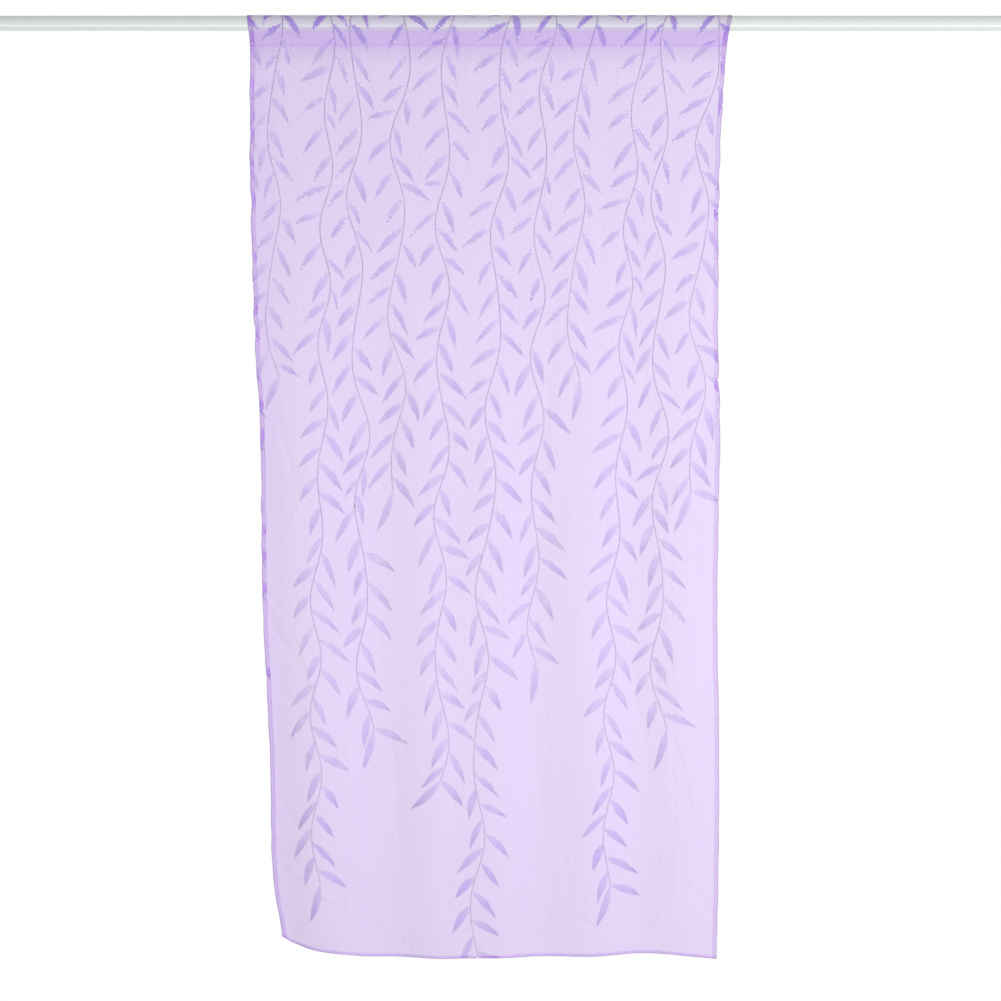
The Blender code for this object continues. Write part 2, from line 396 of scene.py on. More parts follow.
def new_group(name, kind, inputs, outputs):
    """A node group with named sockets, each given as (name, socket type)."""
    tree = bpy.data.node_groups.new(name, kind)
    for label, socket in inputs:
        tree.interface.new_socket(label, in_out="INPUT", socket_type=socket)
    for label, socket in outputs:
        tree.interface.new_socket(label, in_out="OUTPUT", socket_type=socket)
    return tree


def set_inputs(tree, node, values):
    """Each value is a number or another node's output. It goes to the socket that it names."""
    for key, value in values.items():
        if isinstance(key, int):
            socket = node.inputs[key]
        else:
            socket = next(s for s in node.inputs if s.name == key and s.enabled)
        if isinstance(value, bpy.types.NodeSocket):
            tree.links.new(value, socket)
        else:
            socket.default_value = value


def add(tree, kind, values=None, **settings):
    """A node of this kind, with its settings, and with values for its inputs."""
    node = tree.nodes.new(kind)
    for label, setting in settings.items():
        setattr(node, label, setting)
    set_inputs(tree, node, values or {})
    return node


def out(node):
    """The node's first output that is in use."""
    return next(socket for socket in node.outputs if socket.enabled)


def maths(tree, operation, *values):
    """The result of one sum or function of numbers."""
    return out(add(tree, "ShaderNodeMath", dict(enumerate(values)), operation=operation))


def split(tree, place):
    """The X, Y and Z of a place, each as an output of its own."""
    return add(tree, "ShaderNodeSeparateXYZ", {0: place}).outputs


def run_nodes(obj, tree, values):
    """Runs the tree on the object with these inputs, and returns the result as a plain mesh."""
    modifier = obj.modifiers.new(tree.name, "NODES")
    modifier.node_group = tree
    for item in tree.interface.items_tree:
        if item.in_out == "INPUT" and item.name in values:
            modifier[item.identifier] = values[item.name]
    graph = bpy.context.evaluated_depsgraph_get()
    mesh = bpy.data.meshes.new_from_object(obj.evaluated_get(graph), depsgraph=graph)
    obj.modifiers.remove(modifier)
    return mesh


def lines_object(name, lines):
    """An object of bare edges: one open line through each list of points."""
    mesh = bpy.data.meshes.new(name)
    points = [point for line in lines for point in line]
    edges = []
    start = 0
    for line in lines:
        edges += [(start + i, start + i + 1) for i in range(len(line) - 1)]
        start += len(line)
    mesh.from_pydata(points, edges, [])
    return in_scene(name, mesh)


# %% Helpers for trees that work along lines
SOCKETS = {
    float: "NodeSocketFloat",
    int: "NodeSocketInt",
    bpy.types.Material: "NodeSocketMaterial",
}


def tree_along_lines(name, values):
    """A tree with an input for each of the values, the outputs that hold them, and the curve."""
    geometry = ("Geometry", "NodeSocketGeometry")
    inputs = [(label, SOCKETS[type(value)]) for label, value in values.items()]
    tree = new_group(name, "GeometryNodeTree", [geometry, *inputs], [geometry])
    given = add(tree, "NodeGroupInput").outputs
    return tree, given, out(add(tree, "GeometryNodeMeshToCurve", {"Mesh": given["Geometry"]}))


def spaced_out(tree, curve, pitch):
    """Points along a curve, each with its tangent, a pitch apart."""
    values = {"Curve": curve, "Length": pitch}
    return add(tree, "GeometryNodeCurveToPoints", values, mode="LENGTH").outputs


def set_on(tree, points, shape, rotation, scale, more=None):
    """The shape, turned and scaled, on each of the points."""
    values = {"Points": points, "Instance": shape, "Rotation": rotation, "Scale": scale}
    return out(add(tree, "GeometryNodeInstanceOnPoints", values | (more or {})))


def joined(tree, *shapes):
    both = add(tree, "GeometryNodeJoinGeometry")
    for shape in shapes:
        tree.links.new(shape, both.inputs[0])
    return out(both)


def realized(tree, shape):
    return out(add(tree, "GeometryNodeRealizeInstances", {"Geometry": shape}))


def finished(tree, shape, finish):
    return out(add(tree, "GeometryNodeSetMaterial", {"Geometry": shape, "Material": finish}))


print("kinds of input:", len(SOCKETS))

# %% [markdown]
# ## The willow branches
#
# The loom draws one set of seven hanging branches and repeats it across the cloth. Each branch
# wavers a little, and each ends at its own height, which gives the pattern its uneven lower
# edge. A short table holds the set. The branches start just behind the top fold. The strip
# that is turned to the back is the plain heading of the cloth, so no pattern shows through there.

# %% Set out the branches on the flat cloth
MOTIF_REPEAT = 0.657
# Each row: x at the top, length, sway, pitch of the sway, its start in turns, drift by the tip.
BRANCHES = (
    (0.057, 0.79, 0.015, 0.41, 0.19, -0.018),
    (0.172, 1.87, 0.011, 0.26, 0.98, -0.070),
    (0.226, 1.53, 0.015, 0.33, 0.53, -0.005),
    (0.326, 1.03, 0.017, 0.35, 0.95, -0.025),
    (0.420, 1.64, 0.014, 0.31, 0.30, -0.030),
    (0.545, 2.10, 0.015, 0.36, 0.38, -0.086),
    (0.632, 1.39, 0.013, 0.28, 0.10, -0.030),
)
BRANCH_STEP = 0.012  # from one point of a branch's line to the next
BRANCH_STARTS = -0.034  # just behind the top fold
TREMBLE = 0.2  # a quicker, smaller sway, as a share of the main one
TREMBLE_TURN = 31  # its radians for each metre
OUTERMOST = (-0.10, CLOTH_WIDTH + 0.03)  # past these a branch would not reach the cut


def branch_line(x, length, sway, pitch, start, drift):
    """A branch from above the top fold to its tip, as points of the flat cloth, upright."""
    down = np.arange(BRANCH_STARTS, length, BRANCH_STEP)
    wave = np.sin(math.tau * (down / pitch + start))
    wave = wave + TREMBLE * np.sin(down * TREMBLE_TURN + 9 * start)
    place = x + drift * ease(down, 0, length) + sway * wave
    return np.stack([place, -down, np.zeros_like(down)], 1).tolist()


lines = []
for repeat in (-1, 0, 1):
    for x, length, sway, pitch, start, drift in BRANCHES:
        place = x + repeat * MOTIF_REPEAT
        if OUTERMOST[0] < place < OUTERMOST[1]:
            lines.append(branch_line(place, length, sway, pitch, start, drift))
branches = lines_object("branch_lines", lines)
print(len(lines), "branches, of", len(BRANCHES), "drawn")

# %% [markdown]
# Now the tree that clothes them. A narrow ribbon follows each branch. Leaves stand along it at
# an even spacing, left and right in turn, each a little different in size and angle, and one
# last leaf closes each tip. A leaf is drawn as one outline: a ring of points pulled into a lancet
# with a curved midrib. The result lies flat, as a paper pattern does.

# %% Draw a leaf
LEAF_POINTS = 16
STALK_POWER = 0.95  # how bluntly a leaf widens from its stalk
TIP_POWER = 1.25  # how finely it narrows to its tip
FULL_WIDTH = 2.3  # brings its widest place to the width asked for


def leaf_outline(tree, length, width, bend):
    """A lancet from its stalk at the origin to its drawn-out tip along X, as one face."""
    ring = add(tree, "GeometryNodeMeshCircle", {"Vertices": LEAF_POINTS}, fill_type="NGON")
    at = split(tree, out(add(tree, "GeometryNodeInputPosition")))
    along = maths(tree, "MULTIPLY_ADD", at["X"], -0.5, 0.5)
    left = maths(tree, "SUBTRACT", 1.0, along)
    from_stalk = maths(tree, "POWER", along, STALK_POWER)
    swell = maths(tree, "MULTIPLY", from_stalk, maths(tree, "POWER", left, TIP_POWER))
    side = maths(tree, "MULTIPLY", maths(tree, "SIGN", at["Y"]), swell)
    side = maths(tree, "MULTIPLY", side, FULL_WIDTH)
    arch = maths(tree, "MULTIPLY", maths(tree, "MULTIPLY", along, left), bend)
    values = {
        "X": maths(tree, "MULTIPLY", along, length),
        "Y": maths(tree, "MULTIPLY_ADD", side, width, arch),
    }
    place = out(add(tree, "ShaderNodeCombineXYZ", values))
    return out(add(tree, "GeometryNodeSetPosition", {"Geometry": out(ring), "Position": place}))


# %% Clothe the branches
BRANCH_TAPER = 0.3  # the share of its width that a branch loses by its tip
LEAF_SIZES = (0.84, 1.14)  # the smallest and the largest leaf
LEAF_PLUMPNESS = (0.85, 1.15)  # the slimmest and the plumpest
PLUMP_AT_TOP = 1.10
PLUMPER = 0.03  # how much plumper the leaves are for each metre down
LAST_LEAF = (1.25, 1.2, 1.0)  # the size of the leaf that closes a tip


def random_number(tree, low, high, seed):
    values = {"Min": low, "Max": high, "Seed": seed}
    return out(add(tree, "FunctionNodeRandomValue", values, data_type="FLOAT"))


def turned_from(tree, direction, angle):
    """A rotation that points X along direction and then turns it by angle, in the cloth."""
    straight = add(
        tree, "FunctionNodeAlignRotationToVector", {"Vector": direction}, axis="X", pivot_axis="Z"
    )
    turn = add(tree, "FunctionNodeAxisAngleToRotation", {"Axis": (0, 0, 1), "Angle": angle})
    values = {"Rotation": out(straight), "Rotate By": out(turn)}
    return out(add(tree, "FunctionNodeRotateRotation", values, rotation_space="LOCAL"))


def ribbon_along(tree, curve, full_width):
    """A flat ribbon that follows the curve and tapers towards its end."""
    taper = add(tree, "GeometryNodeSplineParameter").outputs["Factor"]
    narrowed = maths(tree, "MULTIPLY_ADD", taper, -BRANCH_TAPER, 1.0)
    upright = add(tree, "GeometryNodeSetCurveNormal", {"Curve": curve}, mode="Z_UP")
    ends = {"Start": (-0.5, 0, 0), "End": (0.5, 0, 0)}
    values = {
        "Curve": out(upright),
        "Profile Curve": out(add(tree, "GeometryNodeCurvePrimitiveLine", ends)),
        "Scale": maths(tree, "MULTIPLY", full_width, narrowed),
    }
    return out(add(tree, "GeometryNodeCurveToMesh", values))


def leaves_along(tree, given, curve, leaf):
    """A leaf at each spot, left and right in turn, each with its own angle and size."""
    spots = spaced_out(tree, curve, given["Leaf Spacing"])
    odd = maths(tree, "MODULO", out(add(tree, "GeometryNodeInputIndex")), 2.0)
    side = maths(tree, "MULTIPLY_ADD", odd, 2.0, -1.0)
    low = maths(tree, "SUBTRACT", given["Leaf Angle"], given["Angle Spread"])
    high = maths(tree, "ADD", given["Leaf Angle"], given["Angle Spread"])
    angle = random_number(tree, low, high, given["Seed"])
    at = split(tree, out(add(tree, "GeometryNodeInputPosition")))
    lower = maths(tree, "MULTIPLY", at["Y"], -1.0)
    lean = maths(tree, "MULTIPLY_ADD", lower, given["Lean Change"], given["Leaf Lean"])
    angle = maths(tree, "MULTIPLY_ADD", angle, side, lean)
    size = random_number(tree, *LEAF_SIZES, maths(tree, "ADD", given["Seed"], 1.0))
    plump = random_number(tree, *LEAF_PLUMPNESS, maths(tree, "ADD", given["Seed"], 2.0))
    here = maths(tree, "MULTIPLY_ADD", lower, PLUMPER, PLUMP_AT_TOP)
    flip = maths(tree, "MULTIPLY", maths(tree, "MULTIPLY", plump, here), side)
    scale = out(add(tree, "ShaderNodeCombineXYZ", {"X": size, "Y": flip, "Z": 1.0}))
    turn = turned_from(tree, spots["Tangent"], angle)
    return set_on(tree, spots["Points"], leaf, turn, scale)


def build_willow(values):
    tree, given, curve = tree_along_lines("willow", values)
    ribbons = finished(
        tree, ribbon_along(tree, curve, given["Branch Width"]), given["Branch Finish"]
    )
    leaf = leaf_outline(tree, given["Leaf Length"], given["Leaf Width"], given["Leaf Bend"])
    leaves = leaves_along(tree, given, curve, leaf)
    tips = add(tree, "GeometryNodeCurveEndpointSelection", {"Start Size": 0, "End Size": 1})
    tangent = out(add(tree, "GeometryNodeInputTangent"))
    turn = turned_from(tree, tangent, given["Last Leaf Angle"])
    last = set_on(tree, curve, leaf, turn, LAST_LEAF, {"Selection": out(tips)})
    real = realized(tree, joined(tree, leaves, last))
    whole = joined(tree, ribbons, finished(tree, real, given["Leaf Finish"]))
    add(tree, "NodeGroupOutput", {"Geometry": whole})
    return tree


# %% Make the flat willow
voile = bpy.data.materials.new("voile_ground")
leaf_cloth = bpy.data.materials.new("willow_leaf_weave")
branch_cloth = bpy.data.materials.new("willow_branch_weave")
willow_values = {
    "Branch Width": 0.0015,
    "Leaf Spacing": 0.0315,
    "Leaf Length": 0.078,
    "Leaf Width": 0.0138,
    "Leaf Bend": 0.012,
    "Leaf Angle": math.radians(39),
    "Angle Spread": math.radians(9),
    "Leaf Lean": math.radians(-9),
    "Lean Change": math.radians(10),
    "Last Leaf Angle": math.radians(-29),
    "Seed": 11,
    "Branch Finish": branch_cloth,
    "Leaf Finish": leaf_cloth,
}
flat_willow = run_nodes(branches, build_willow(willow_values), willow_values)
print("flat willow:", len(flat_willow.polygons), "faces")

# %% [markdown]
# ## One cloth, cut along its pattern
#
# The leaves are part of the cloth, not laid on it, so the cloth's mesh has to have edges along
# every leaf. A constrained Delaunay triangulation does just that: it is given the points of an
# even grid and the outlines that must appear as edges, and it fills the cut with triangles that
# never cross an outline. It also says which outlines each triangle lies in.

# %% Lay out the grid of the flat cut
COLUMN_STEP = 0.0062
ROW_STEP = 0.0070
WRAP_STEP = 0.0028  # round the rod, where the cloth bends most
LEG_STEP = 0.006  # down each leg of the pocket
SIDE_INNER = 1.25 * SIDE_HEM  # the innermost of the close lines along a side hem
FOOT_INNER = 1.6 * FOOT_HEM  # and along the foot's hem


def steps(start, end, step):
    """Even places from start to end, about a step apart."""
    count = max(1, round(abs(end - start) / step))
    return list(np.linspace(start, end, count + 1))


def hem_places(hem, inner):
    """Where the grid's lines run in a hem, inwards from its finished edge: close at each turn."""
    turn = HALF_TURN / hem
    shares = (-2, -1.55, -1.1, -1 - turn, -1, -1 + turn)
    shares += (-0.9, -0.5, -0.12, -turn, 0, turn, 0.12, 0.5, 1)
    return [share * hem for share in shares] + [inner]


side_places = hem_places(SIDE_HEM, SIDE_INNER)
foot_places = [FOOT - place for place in hem_places(FOOT_HEM, FOOT_INNER)]
columns = sorted(
    side_places
    + steps(SIDE_INNER, CLOTH_WIDTH - SIDE_INNER, COLUMN_STEP)[1:-1]
    + [CLOTH_WIDTH - place for place in side_places]
)
rows = sorted(
    [-BACK - TURNED_EDGE, -BACK - HALF_TURN, -BACK, HALF_TURN - BACK]
    + steps(-POCKET_REACH, -WRAP, LEG_STEP)
    + steps(-WRAP, WRAP, WRAP_STEP)[1:-1]
    + steps(WRAP, POCKET_REACH, LEG_STEP)
    + steps(POCKET_REACH, foot_places[-1], ROW_STEP)[1:-1]
    + foot_places
)
print(len(columns), "columns,", len(rows), "rows")

# %% [markdown]
# Before the outlines are cut in, the leaves are sorted out, as a pattern drawer would do it.
# Nodes set them out branch by branch, so leaves of two branches may cross. Going down the cloth,
# each leaf that meets one already there, or another branch, is swung about its stalk or made a
# little smaller, and one that still finds no room is left out.

# %% Settle the leaves
LEAF_GAP = 0.0035
OWN_BRANCH = 0.018  # how far a leaf may lie along the branch that it grows on
NEARBY = 0.10  # what is further from a leaf's stalk cannot touch the leaf
SWINGS = (0, 8, -8, 16, -16, 22, -22)
SHRINKS = (1.0, 0.86, 0.74)
BESIDE = 0.03  # shapes further than this beside the cut are left out
BELOW = 0.02  # and further than this below it


def read_willow(mesh):
    """The flat willow's faces near the cut: the ribbons' corners, and the leaves' rings."""
    points = np.array([vert.co[:2] for vert in mesh.vertices])
    ribbons, rings = [], []
    for face in mesh.polygons:
        ring = points[list(face.vertices)]
        low, high = ring.min(0), ring.max(0)
        if low[0] > CLOTH_WIDTH + BESIDE or high[0] < -BESIDE or high[1] < -FOOT - BELOW:
            continue
        if mesh.materials[face.material_index] == leaf_cloth:
            rings.append(points[min(face.vertices) :][:LEAF_POINTS])
        else:
            ribbons.append(ring)
    return ribbons, rings


def midrib(ring):
    """The points half way between the two sides of a leaf, from its stalk to its tip."""
    half = LEAF_POINTS // 2
    return (ring[1:half] + ring[:half:-1]) / 2


def filled(ring):
    """A leaf's ring and midrib as points close enough together that no other leaf slips through."""
    following = np.roll(ring, -1, axis=0)
    sides = [ring + (following - ring) * share for share in (0.25, 0.5, 0.75)]
    return np.concatenate([ring, midrib(ring), *sides])


def touches(points, others):
    """Whether any of the points lies too near to any of the others."""
    gaps = np.hypot(*(points[:, None] - others).T)
    return gaps.size > 0 and gaps.min() < LEAF_GAP


def settled(rings, ribbons):
    """The leaves that find room, each swung or shrunk as little as it has to be."""
    stems = np.array([ring.mean(0) for ring in ribbons])
    taken = np.empty((0, 2))
    kept = []
    for ring in sorted(rings, key=lambda ring: -ring[0][1]):
        stalk = ring[0]
        near = taken[np.abs(taken - stalk).max(1) < NEARBY]
        near_stems = stems[np.abs(stems - stalk).max(1) < NEARBY]
        for size, swing in ((size, swing) for size in SHRINKS for swing in SWINGS):
            turn = math.radians(swing)
            spin = np.array([[math.cos(turn), -math.sin(turn)], [math.sin(turn), math.cos(turn)]])
            moved = stalk + (ring - stalk) @ spin.T * size
            whole = filled(moved)
            from_stalk = np.hypot(*(whole - stalk).T)
            if touches(whole[from_stalk > OWN_BRANCH], near_stems):
                continue
            if touches(whole[from_stalk > LEAF_GAP], near):
                continue
            kept.append(moved)
            taken = np.concatenate([taken, whole])
            break
    return kept


ribbons, rings = read_willow(flat_willow)
leaf_rings = settled(rings, ribbons)
print(len(leaf_rings), "leaves settled, of", len(rings))


# %% Cut the outlines into the grid
def cut_outline():
    """The flat cut's own outline, with its four corners clipped so that the hems lie flat."""
    left, right = -2 * SIDE_HEM, CLOTH_WIDTH + 2 * SIDE_HEM
    foot, high = -FOOT - 2 * FOOT_HEM, BACK + TURNED_EDGE
    lower, upper = -FOOT + HALF_TURN, BACK - HALF_TURN
    ring = [(0, foot), (CLOTH_WIDTH, foot), (CLOTH_WIDTH, lower), (right, lower)]
    ring += [(right, upper), (CLOTH_WIDTH, upper), (CLOTH_WIDTH, high), (0, high)]
    return ring + [(0, upper), (left, upper), (left, lower), (0, lower)]


def cut_cloth(shapes):
    """The whole cut as triangles, with an edge along every side of every shape."""
    points = [(x, -down) for down in rows for x in columns]
    points += [point for ring in leaf_rings for point in midrib(ring)]
    edges = []
    for ring in shapes:
        first, count = len(points), len(ring)
        edges += [(first + i, first + (i + 1) % count) for i in range(count)]
        points += list(ring)
    made = delaunay_2d_cdt([Vector(point) for point in points], edges, [], 0, 1e-6)
    return np.array([point[:] for point in made[0]]), np.array(made[2])


def within(ring, points):
    """Which points lie inside the ring: those with an odd number of its sides to their right."""
    found = np.zeros(len(points), bool)
    boxed = np.flatnonzero(((points > ring.min(0)) & (points < ring.max(0))).all(1))
    x, y = points[boxed].T
    odd = np.zeros(len(boxed), bool)
    for (ax, ay), (bx, by) in zip(ring, np.roll(ring, -1, 0)):
        if ay != by:
            odd ^= ((ay > y) != (by > y)) & (x < ax + (y - ay) * (bx - ax) / (by - ay))
    found[boxed] = odd
    return found


outline = np.array(cut_outline(), float)
flat_points, triangles = cut_cloth([outline] + leaf_rings + ribbons)
centres = flat_points[triangles].mean(1)
in_cut = within(outline, centres)
leaf_of = np.full(len(triangles), -1)
for which, ring in enumerate(leaf_rings):
    leaf_of[within(ring, centres)] = which
in_branch = np.zeros(len(triangles), bool)
for ring in ribbons:
    in_branch |= within(ring, centres)
leaf = np.flatnonzero(in_cut & (leaf_of >= 0))
branch = np.flatnonzero(in_cut & (leaf_of < 0) & in_branch)
ground = np.flatnonzero(in_cut & (leaf_of < 0) & ~in_branch)
print("triangles:", len(ground), "ground,", len(branch), "branch,", len(leaf), "leaf")

# %% [markdown]
# The three sorts of triangle become three pieces, so that each keeps its sharp edge wherever the
# model is used. They share their points along the outlines, and together they are the one cloth.
# Each point is hung by the function above. A first UV map keeps its place in the flat cut, in
# metres, for the weave. A leaf gets a second one that runs from its stalk to its tip.


# %% Build the three pieces of the cloth
def to_outline(point, ring):
    """How far a point is from the nearest side of a ring."""
    line = np.roll(ring, -1, 0) - ring
    share = np.clip(((point - ring) * line).sum(1) / (line * line).sum(1), 0, 1)
    return np.hypot(*(ring + line * share[:, None] - point).T).min()


def leaf_places(faces):
    """For each corner, how far along its leaf it is, from 0 to 1, and how far from its edge."""
    places = []
    for face in faces:
        ring = leaf_rings[leaf_of[face]]
        stalk, line = ring[0], ring[LEAF_POINTS // 2] - ring[0]
        for corner in triangles[face]:
            point = flat_points[corner]
            places += [(point - stalk) @ line / (line @ line), to_outline(point, ring)]
    return places


def hung_piece(name, faces, finish):
    """A piece of the hung cloth, made of some of the flat cut's triangles."""
    corners = triangles[faces]
    used, renumbered = np.unique(corners, return_inverse=True)
    x, down = flat_points[used, 0], -flat_points[used, 1]
    mesh = bpy.data.meshes.new(name)
    mesh.from_pydata(hang(x, down).tolist(), [], renumbered.reshape(-1, 3).tolist())
    mesh.uv_layers.new(name="Cut").data.foreach_set("uv", flat_points[corners].ravel())
    if finish == leaf_cloth:
        mesh.uv_layers.new(name="Leaf").data.foreach_set("uv", leaf_places(faces))
    mesh.shade_smooth()
    mesh.normals_split_custom_set_from_vertices(facing(hang, x, down).tolist())
    mesh.materials.append(finish)
    piece = in_scene(name, mesh)
    piece.visible_shadow = False
    print(name, len(mesh.polygons), "triangles")
    return piece


cloth = hung_piece("curtain_cloth", ground, voile)
leaves = hung_piece("willow_leaves", leaf, leaf_cloth)
stems = hung_piece("willow_branches", branch, branch_cloth)
bpy.data.objects.remove(branches)

# %% [markdown]
# ## The stitches
#
# A machine sews each hem and the pocket's seam with small even stitches in a matching thread.
# A line of points is hung like the cloth, a hair in front of it, and Geometry Nodes sets one
# short stitch after another along it.

# %% Sew the hems and the seam
THREAD = 0.00035
PROUD = 0.4  # the share of a thread that stands in front of the cloth
SIDE_INSET = 0.0015  # from a side hem's inner edge to its stitches
FOOT_INSET = 0.0012  # the same at the foot's hem
END_INSET = 0.002  # from the cloth's two sides to the ends of the level lines


def build_stitches(values):
    tree, given, curve = tree_along_lines("stitches", values)
    spots = spaced_out(tree, curve, given["Stitch Pitch"])
    bead = add(tree, "GeometryNodeMeshUVSphere", {"Segments": 6, "Rings": 4, "Radius": 0.5})
    along = add(
        tree, "FunctionNodeAlignRotationToVector", {"Vector": spots["Tangent"]}, axis="X"
    )
    size = {"X": given["Stitch Length"], "Y": given["Thread"], "Z": given["Thread"]}
    scale = out(add(tree, "ShaderNodeCombineXYZ", size))
    sewn = realized(tree, set_on(tree, spots["Points"], out(bead), out(along), scale))
    smooth = out(add(tree, "GeometryNodeSetShadeSmooth", {"Geometry": sewn}))
    add(tree, "NodeGroupOutput", {"Geometry": finished(tree, smooth, given["Finish"])})
    return tree


def sewn_line(x, down):
    """A line on the front of the hung cloth, a little proud of it."""
    x, down = np.broadcast_arrays(np.asarray(x, float), np.asarray(down, float))
    return (hang(x, down) + facing(hang, x, down) * THREAD * PROUD).tolist()


down_the_side = np.linspace(HALF_TURN - BACK, FOOT - SIDE_INSET, 700)
across_it = np.linspace(END_INSET, CLOTH_WIDTH - END_INSET, 400)
hem_line = SIDE_HEM - SIDE_INSET
seams = lines_object(
    "seam_lines",
    [
        sewn_line(hem_line, down_the_side),
        sewn_line(CLOTH_WIDTH - hem_line, down_the_side),
        sewn_line(across_it, FOOT - FOOT_HEM + FOOT_INSET),
        sewn_line(across_it, POCKET_REACH),
    ],
)
thread_finish = bpy.data.materials.new("sewing_thread")
stitch_values = {
    "Stitch Pitch": 0.0032,
    "Stitch Length": 0.0026,
    "Thread": THREAD,
    "Finish": thread_finish,
}
stitches = in_scene("hem_stitches", run_nodes(seams, build_stitches(stitch_values), stitch_values))
bpy.data.objects.remove(seams)
print("stitches:", len(stitches.data.polygons), "faces")

# %% [markdown]
# ## The rod and its caps
#
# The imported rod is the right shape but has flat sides. A real drawn tube is round, so a finer
# one is turned here: a profile spun round the rod's axis. The caps are turned the same way, with
# a rounded rim and a plug that grips the inside of the tube.

# %% Turn the rod and the caps
ROD_RADIUS = (rod_high.z - rod_low.z) / 2
ROD_WALL = 0.0008
TURN_STEPS = 96
TUBE_RINGS = 24  # along the tube, so that no face is too long
MERGE = 1e-6  # points nearer than this are one point
SHARP = math.radians(30)
CAP_FLANGE = 0.004
CAP_PLUG = 0.018
CAP_ROUNDING = 0.0012
ROUNDING_STEPS = 6
PLUG_CHAMFER = 0.001
CLEARANCE = 0.0003  # between the plug and the tube


def turned(name, profile, closed, finish):
    """A piece turned round X from a profile of (along, radius) points."""
    count = len(profile)
    verts, faces = [], []
    for step in range(TURN_STEPS):
        turn = math.tau * step / TURN_STEPS
        for along, radius in profile:
            verts.append((along, radius * math.sin(turn), radius * math.cos(turn)))
    for step in range(TURN_STEPS):
        here, there = step * count, (step + 1) % TURN_STEPS * count
        for i in range(count if closed else count - 1):
            j = (i + 1) % count
            faces.append((here + i, here + j, there + j, there + i))
    mesh = bpy.data.meshes.new(name)
    mesh.from_pydata(verts, [], faces)
    shell = bmesh.new()
    shell.from_mesh(mesh)
    bmesh.ops.remove_doubles(shell, verts=shell.verts, dist=MERGE)
    bmesh.ops.recalc_face_normals(shell, faces=shell.faces)
    shell.to_mesh(mesh)
    shell.free()
    mesh.shade_smooth()
    mesh.set_sharp_from_angle(angle=SHARP)
    mesh.materials.append(finish)
    print(name, len(mesh.polygons), "faces")
    return in_scene(name, mesh)


lacquer = bpy.data.materials.new("rod_lacquer")
plastic = bpy.data.materials.new("cap_plastic")
bore = ROD_RADIUS - ROD_WALL
tube_ends = [rod_low.x, rod_high.x]
tube_profile = [(x, ROD_RADIUS) for x in np.linspace(*tube_ends, TUBE_RINGS)]
tube_profile += [(x, bore) for x in tube_ends[::-1]]
rod = turned("curtain_rod", tube_profile, True, lacquer)


def cap(name, node, inwards):
    """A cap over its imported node: a rounded flange, and a plug that points inwards."""
    low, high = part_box(node)
    face = low.x if inwards > 0 else high.x
    plug = bore - CLEARANCE
    end = CAP_FLANGE + CAP_PLUG
    outline = [(0.0, 0.0), (0.0, ROD_RADIUS * 0.5)]
    for step in range(ROUNDING_STEPS + 1):
        turn = step / ROUNDING_STEPS * math.pi / 2
        along = CAP_ROUNDING - CAP_ROUNDING * math.cos(turn)
        outline.append((along, ROD_RADIUS - CAP_ROUNDING + CAP_ROUNDING * math.sin(turn)))
    outline += [(CAP_FLANGE, ROD_RADIUS), (CAP_FLANGE, plug)]
    outline += [(end - PLUG_CHAMFER, plug), (end, plug - PLUG_CHAMFER), (end, 0.0)]
    return turned(name, [(face + inwards * a, r) for a, r in outline], False, plastic)


left_cap = cap("left_cap", "rod_cap_left", 1)
right_cap = cap("right_cap", "rod_cap_right", -1)

# %% [markdown]
# ## The weave
#
# All the cloth's finishes share one effect, the weave: fine threads across and down, some a
# little thicker than others, with open gaps between. It is one group, used by every finish with
# its own values. It gives how much of the light a spot stops, how deep its colour is, and a
# height for the threads.

# %% The weave, as a group
# Each row of THREAD_WAYS: the axis that the threads are counted along, how a patch of thicker
# thread is stretched, and how much such patches weigh.
THREAD_WAYS = (
    ("X", (120.0, 4.0, 1.0), 1.0),
    ("Y", (9.0, 260.0, 1.0), 0.45),
)
OPEN_COVER = 0.84  # the share of its cover that the weave has in a gap between threads
THREAD_COVER = 0.24  # and what a thread adds
OPEN_DEPTH = 0.93  # the same for how deep the colour is
THREAD_DEPTH = 0.10


def noise(tree, place, scale, detail=1.0, roughness=0.6):
    """Soft random values around a half, in patches of about one part in scale of a metre."""
    values = {"Vector": place, "Scale": scale, "Detail": detail, "Roughness": roughness}
    return out(add(tree, "ShaderNodeTexNoise", values))


def build_weave():
    number = "NodeSocketFloat"
    inputs = (
        ("Place", "NodeSocketVector"),
        ("Threads", number),
        ("Cover", number),
        ("Unevenness", number),
    )
    outputs = (("Cover", number), ("Depth", number), ("Height", number))
    tree = new_group("voile weave", "ShaderNodeTree", inputs, outputs)
    given = add(tree, "NodeGroupInput").outputs
    at = split(tree, given["Place"])
    waves = []
    slubs = []
    for axis, stretch, share in THREAD_WAYS:
        turns = maths(tree, "MULTIPLY", at[axis], given["Threads"])
        wave = maths(tree, "SINE", maths(tree, "MULTIPLY", turns, math.tau))
        waves.append(maths(tree, "MULTIPLY_ADD", wave, 0.5, 0.5))
        values = {0: given["Place"], 1: stretch}
        stretched = out(add(tree, "ShaderNodeVectorMath", values, operation="MULTIPLY"))
        slub = noise(tree, stretched, 1.0, detail=2.0, roughness=0.5)
        slubs.append(maths(tree, "MULTIPLY_ADD", slub, share, -0.5 * share))
    threads = maths(tree, "MAXIMUM", *waves)
    uneven = maths(tree, "MULTIPLY", maths(tree, "ADD", *slubs), given["Unevenness"])
    fine = maths(tree, "MULTIPLY_ADD", threads, THREAD_COVER, OPEN_COVER)
    deep = maths(tree, "MULTIPLY_ADD", threads, THREAD_DEPTH, OPEN_DEPTH)
    values = {
        "Cover": maths(tree, "MULTIPLY", given["Cover"], maths(tree, "ADD", fine, uneven)),
        "Depth": maths(tree, "ADD", deep, uneven),
        "Height": threads,
    }
    add(tree, "NodeGroupOutput", values)
    return tree


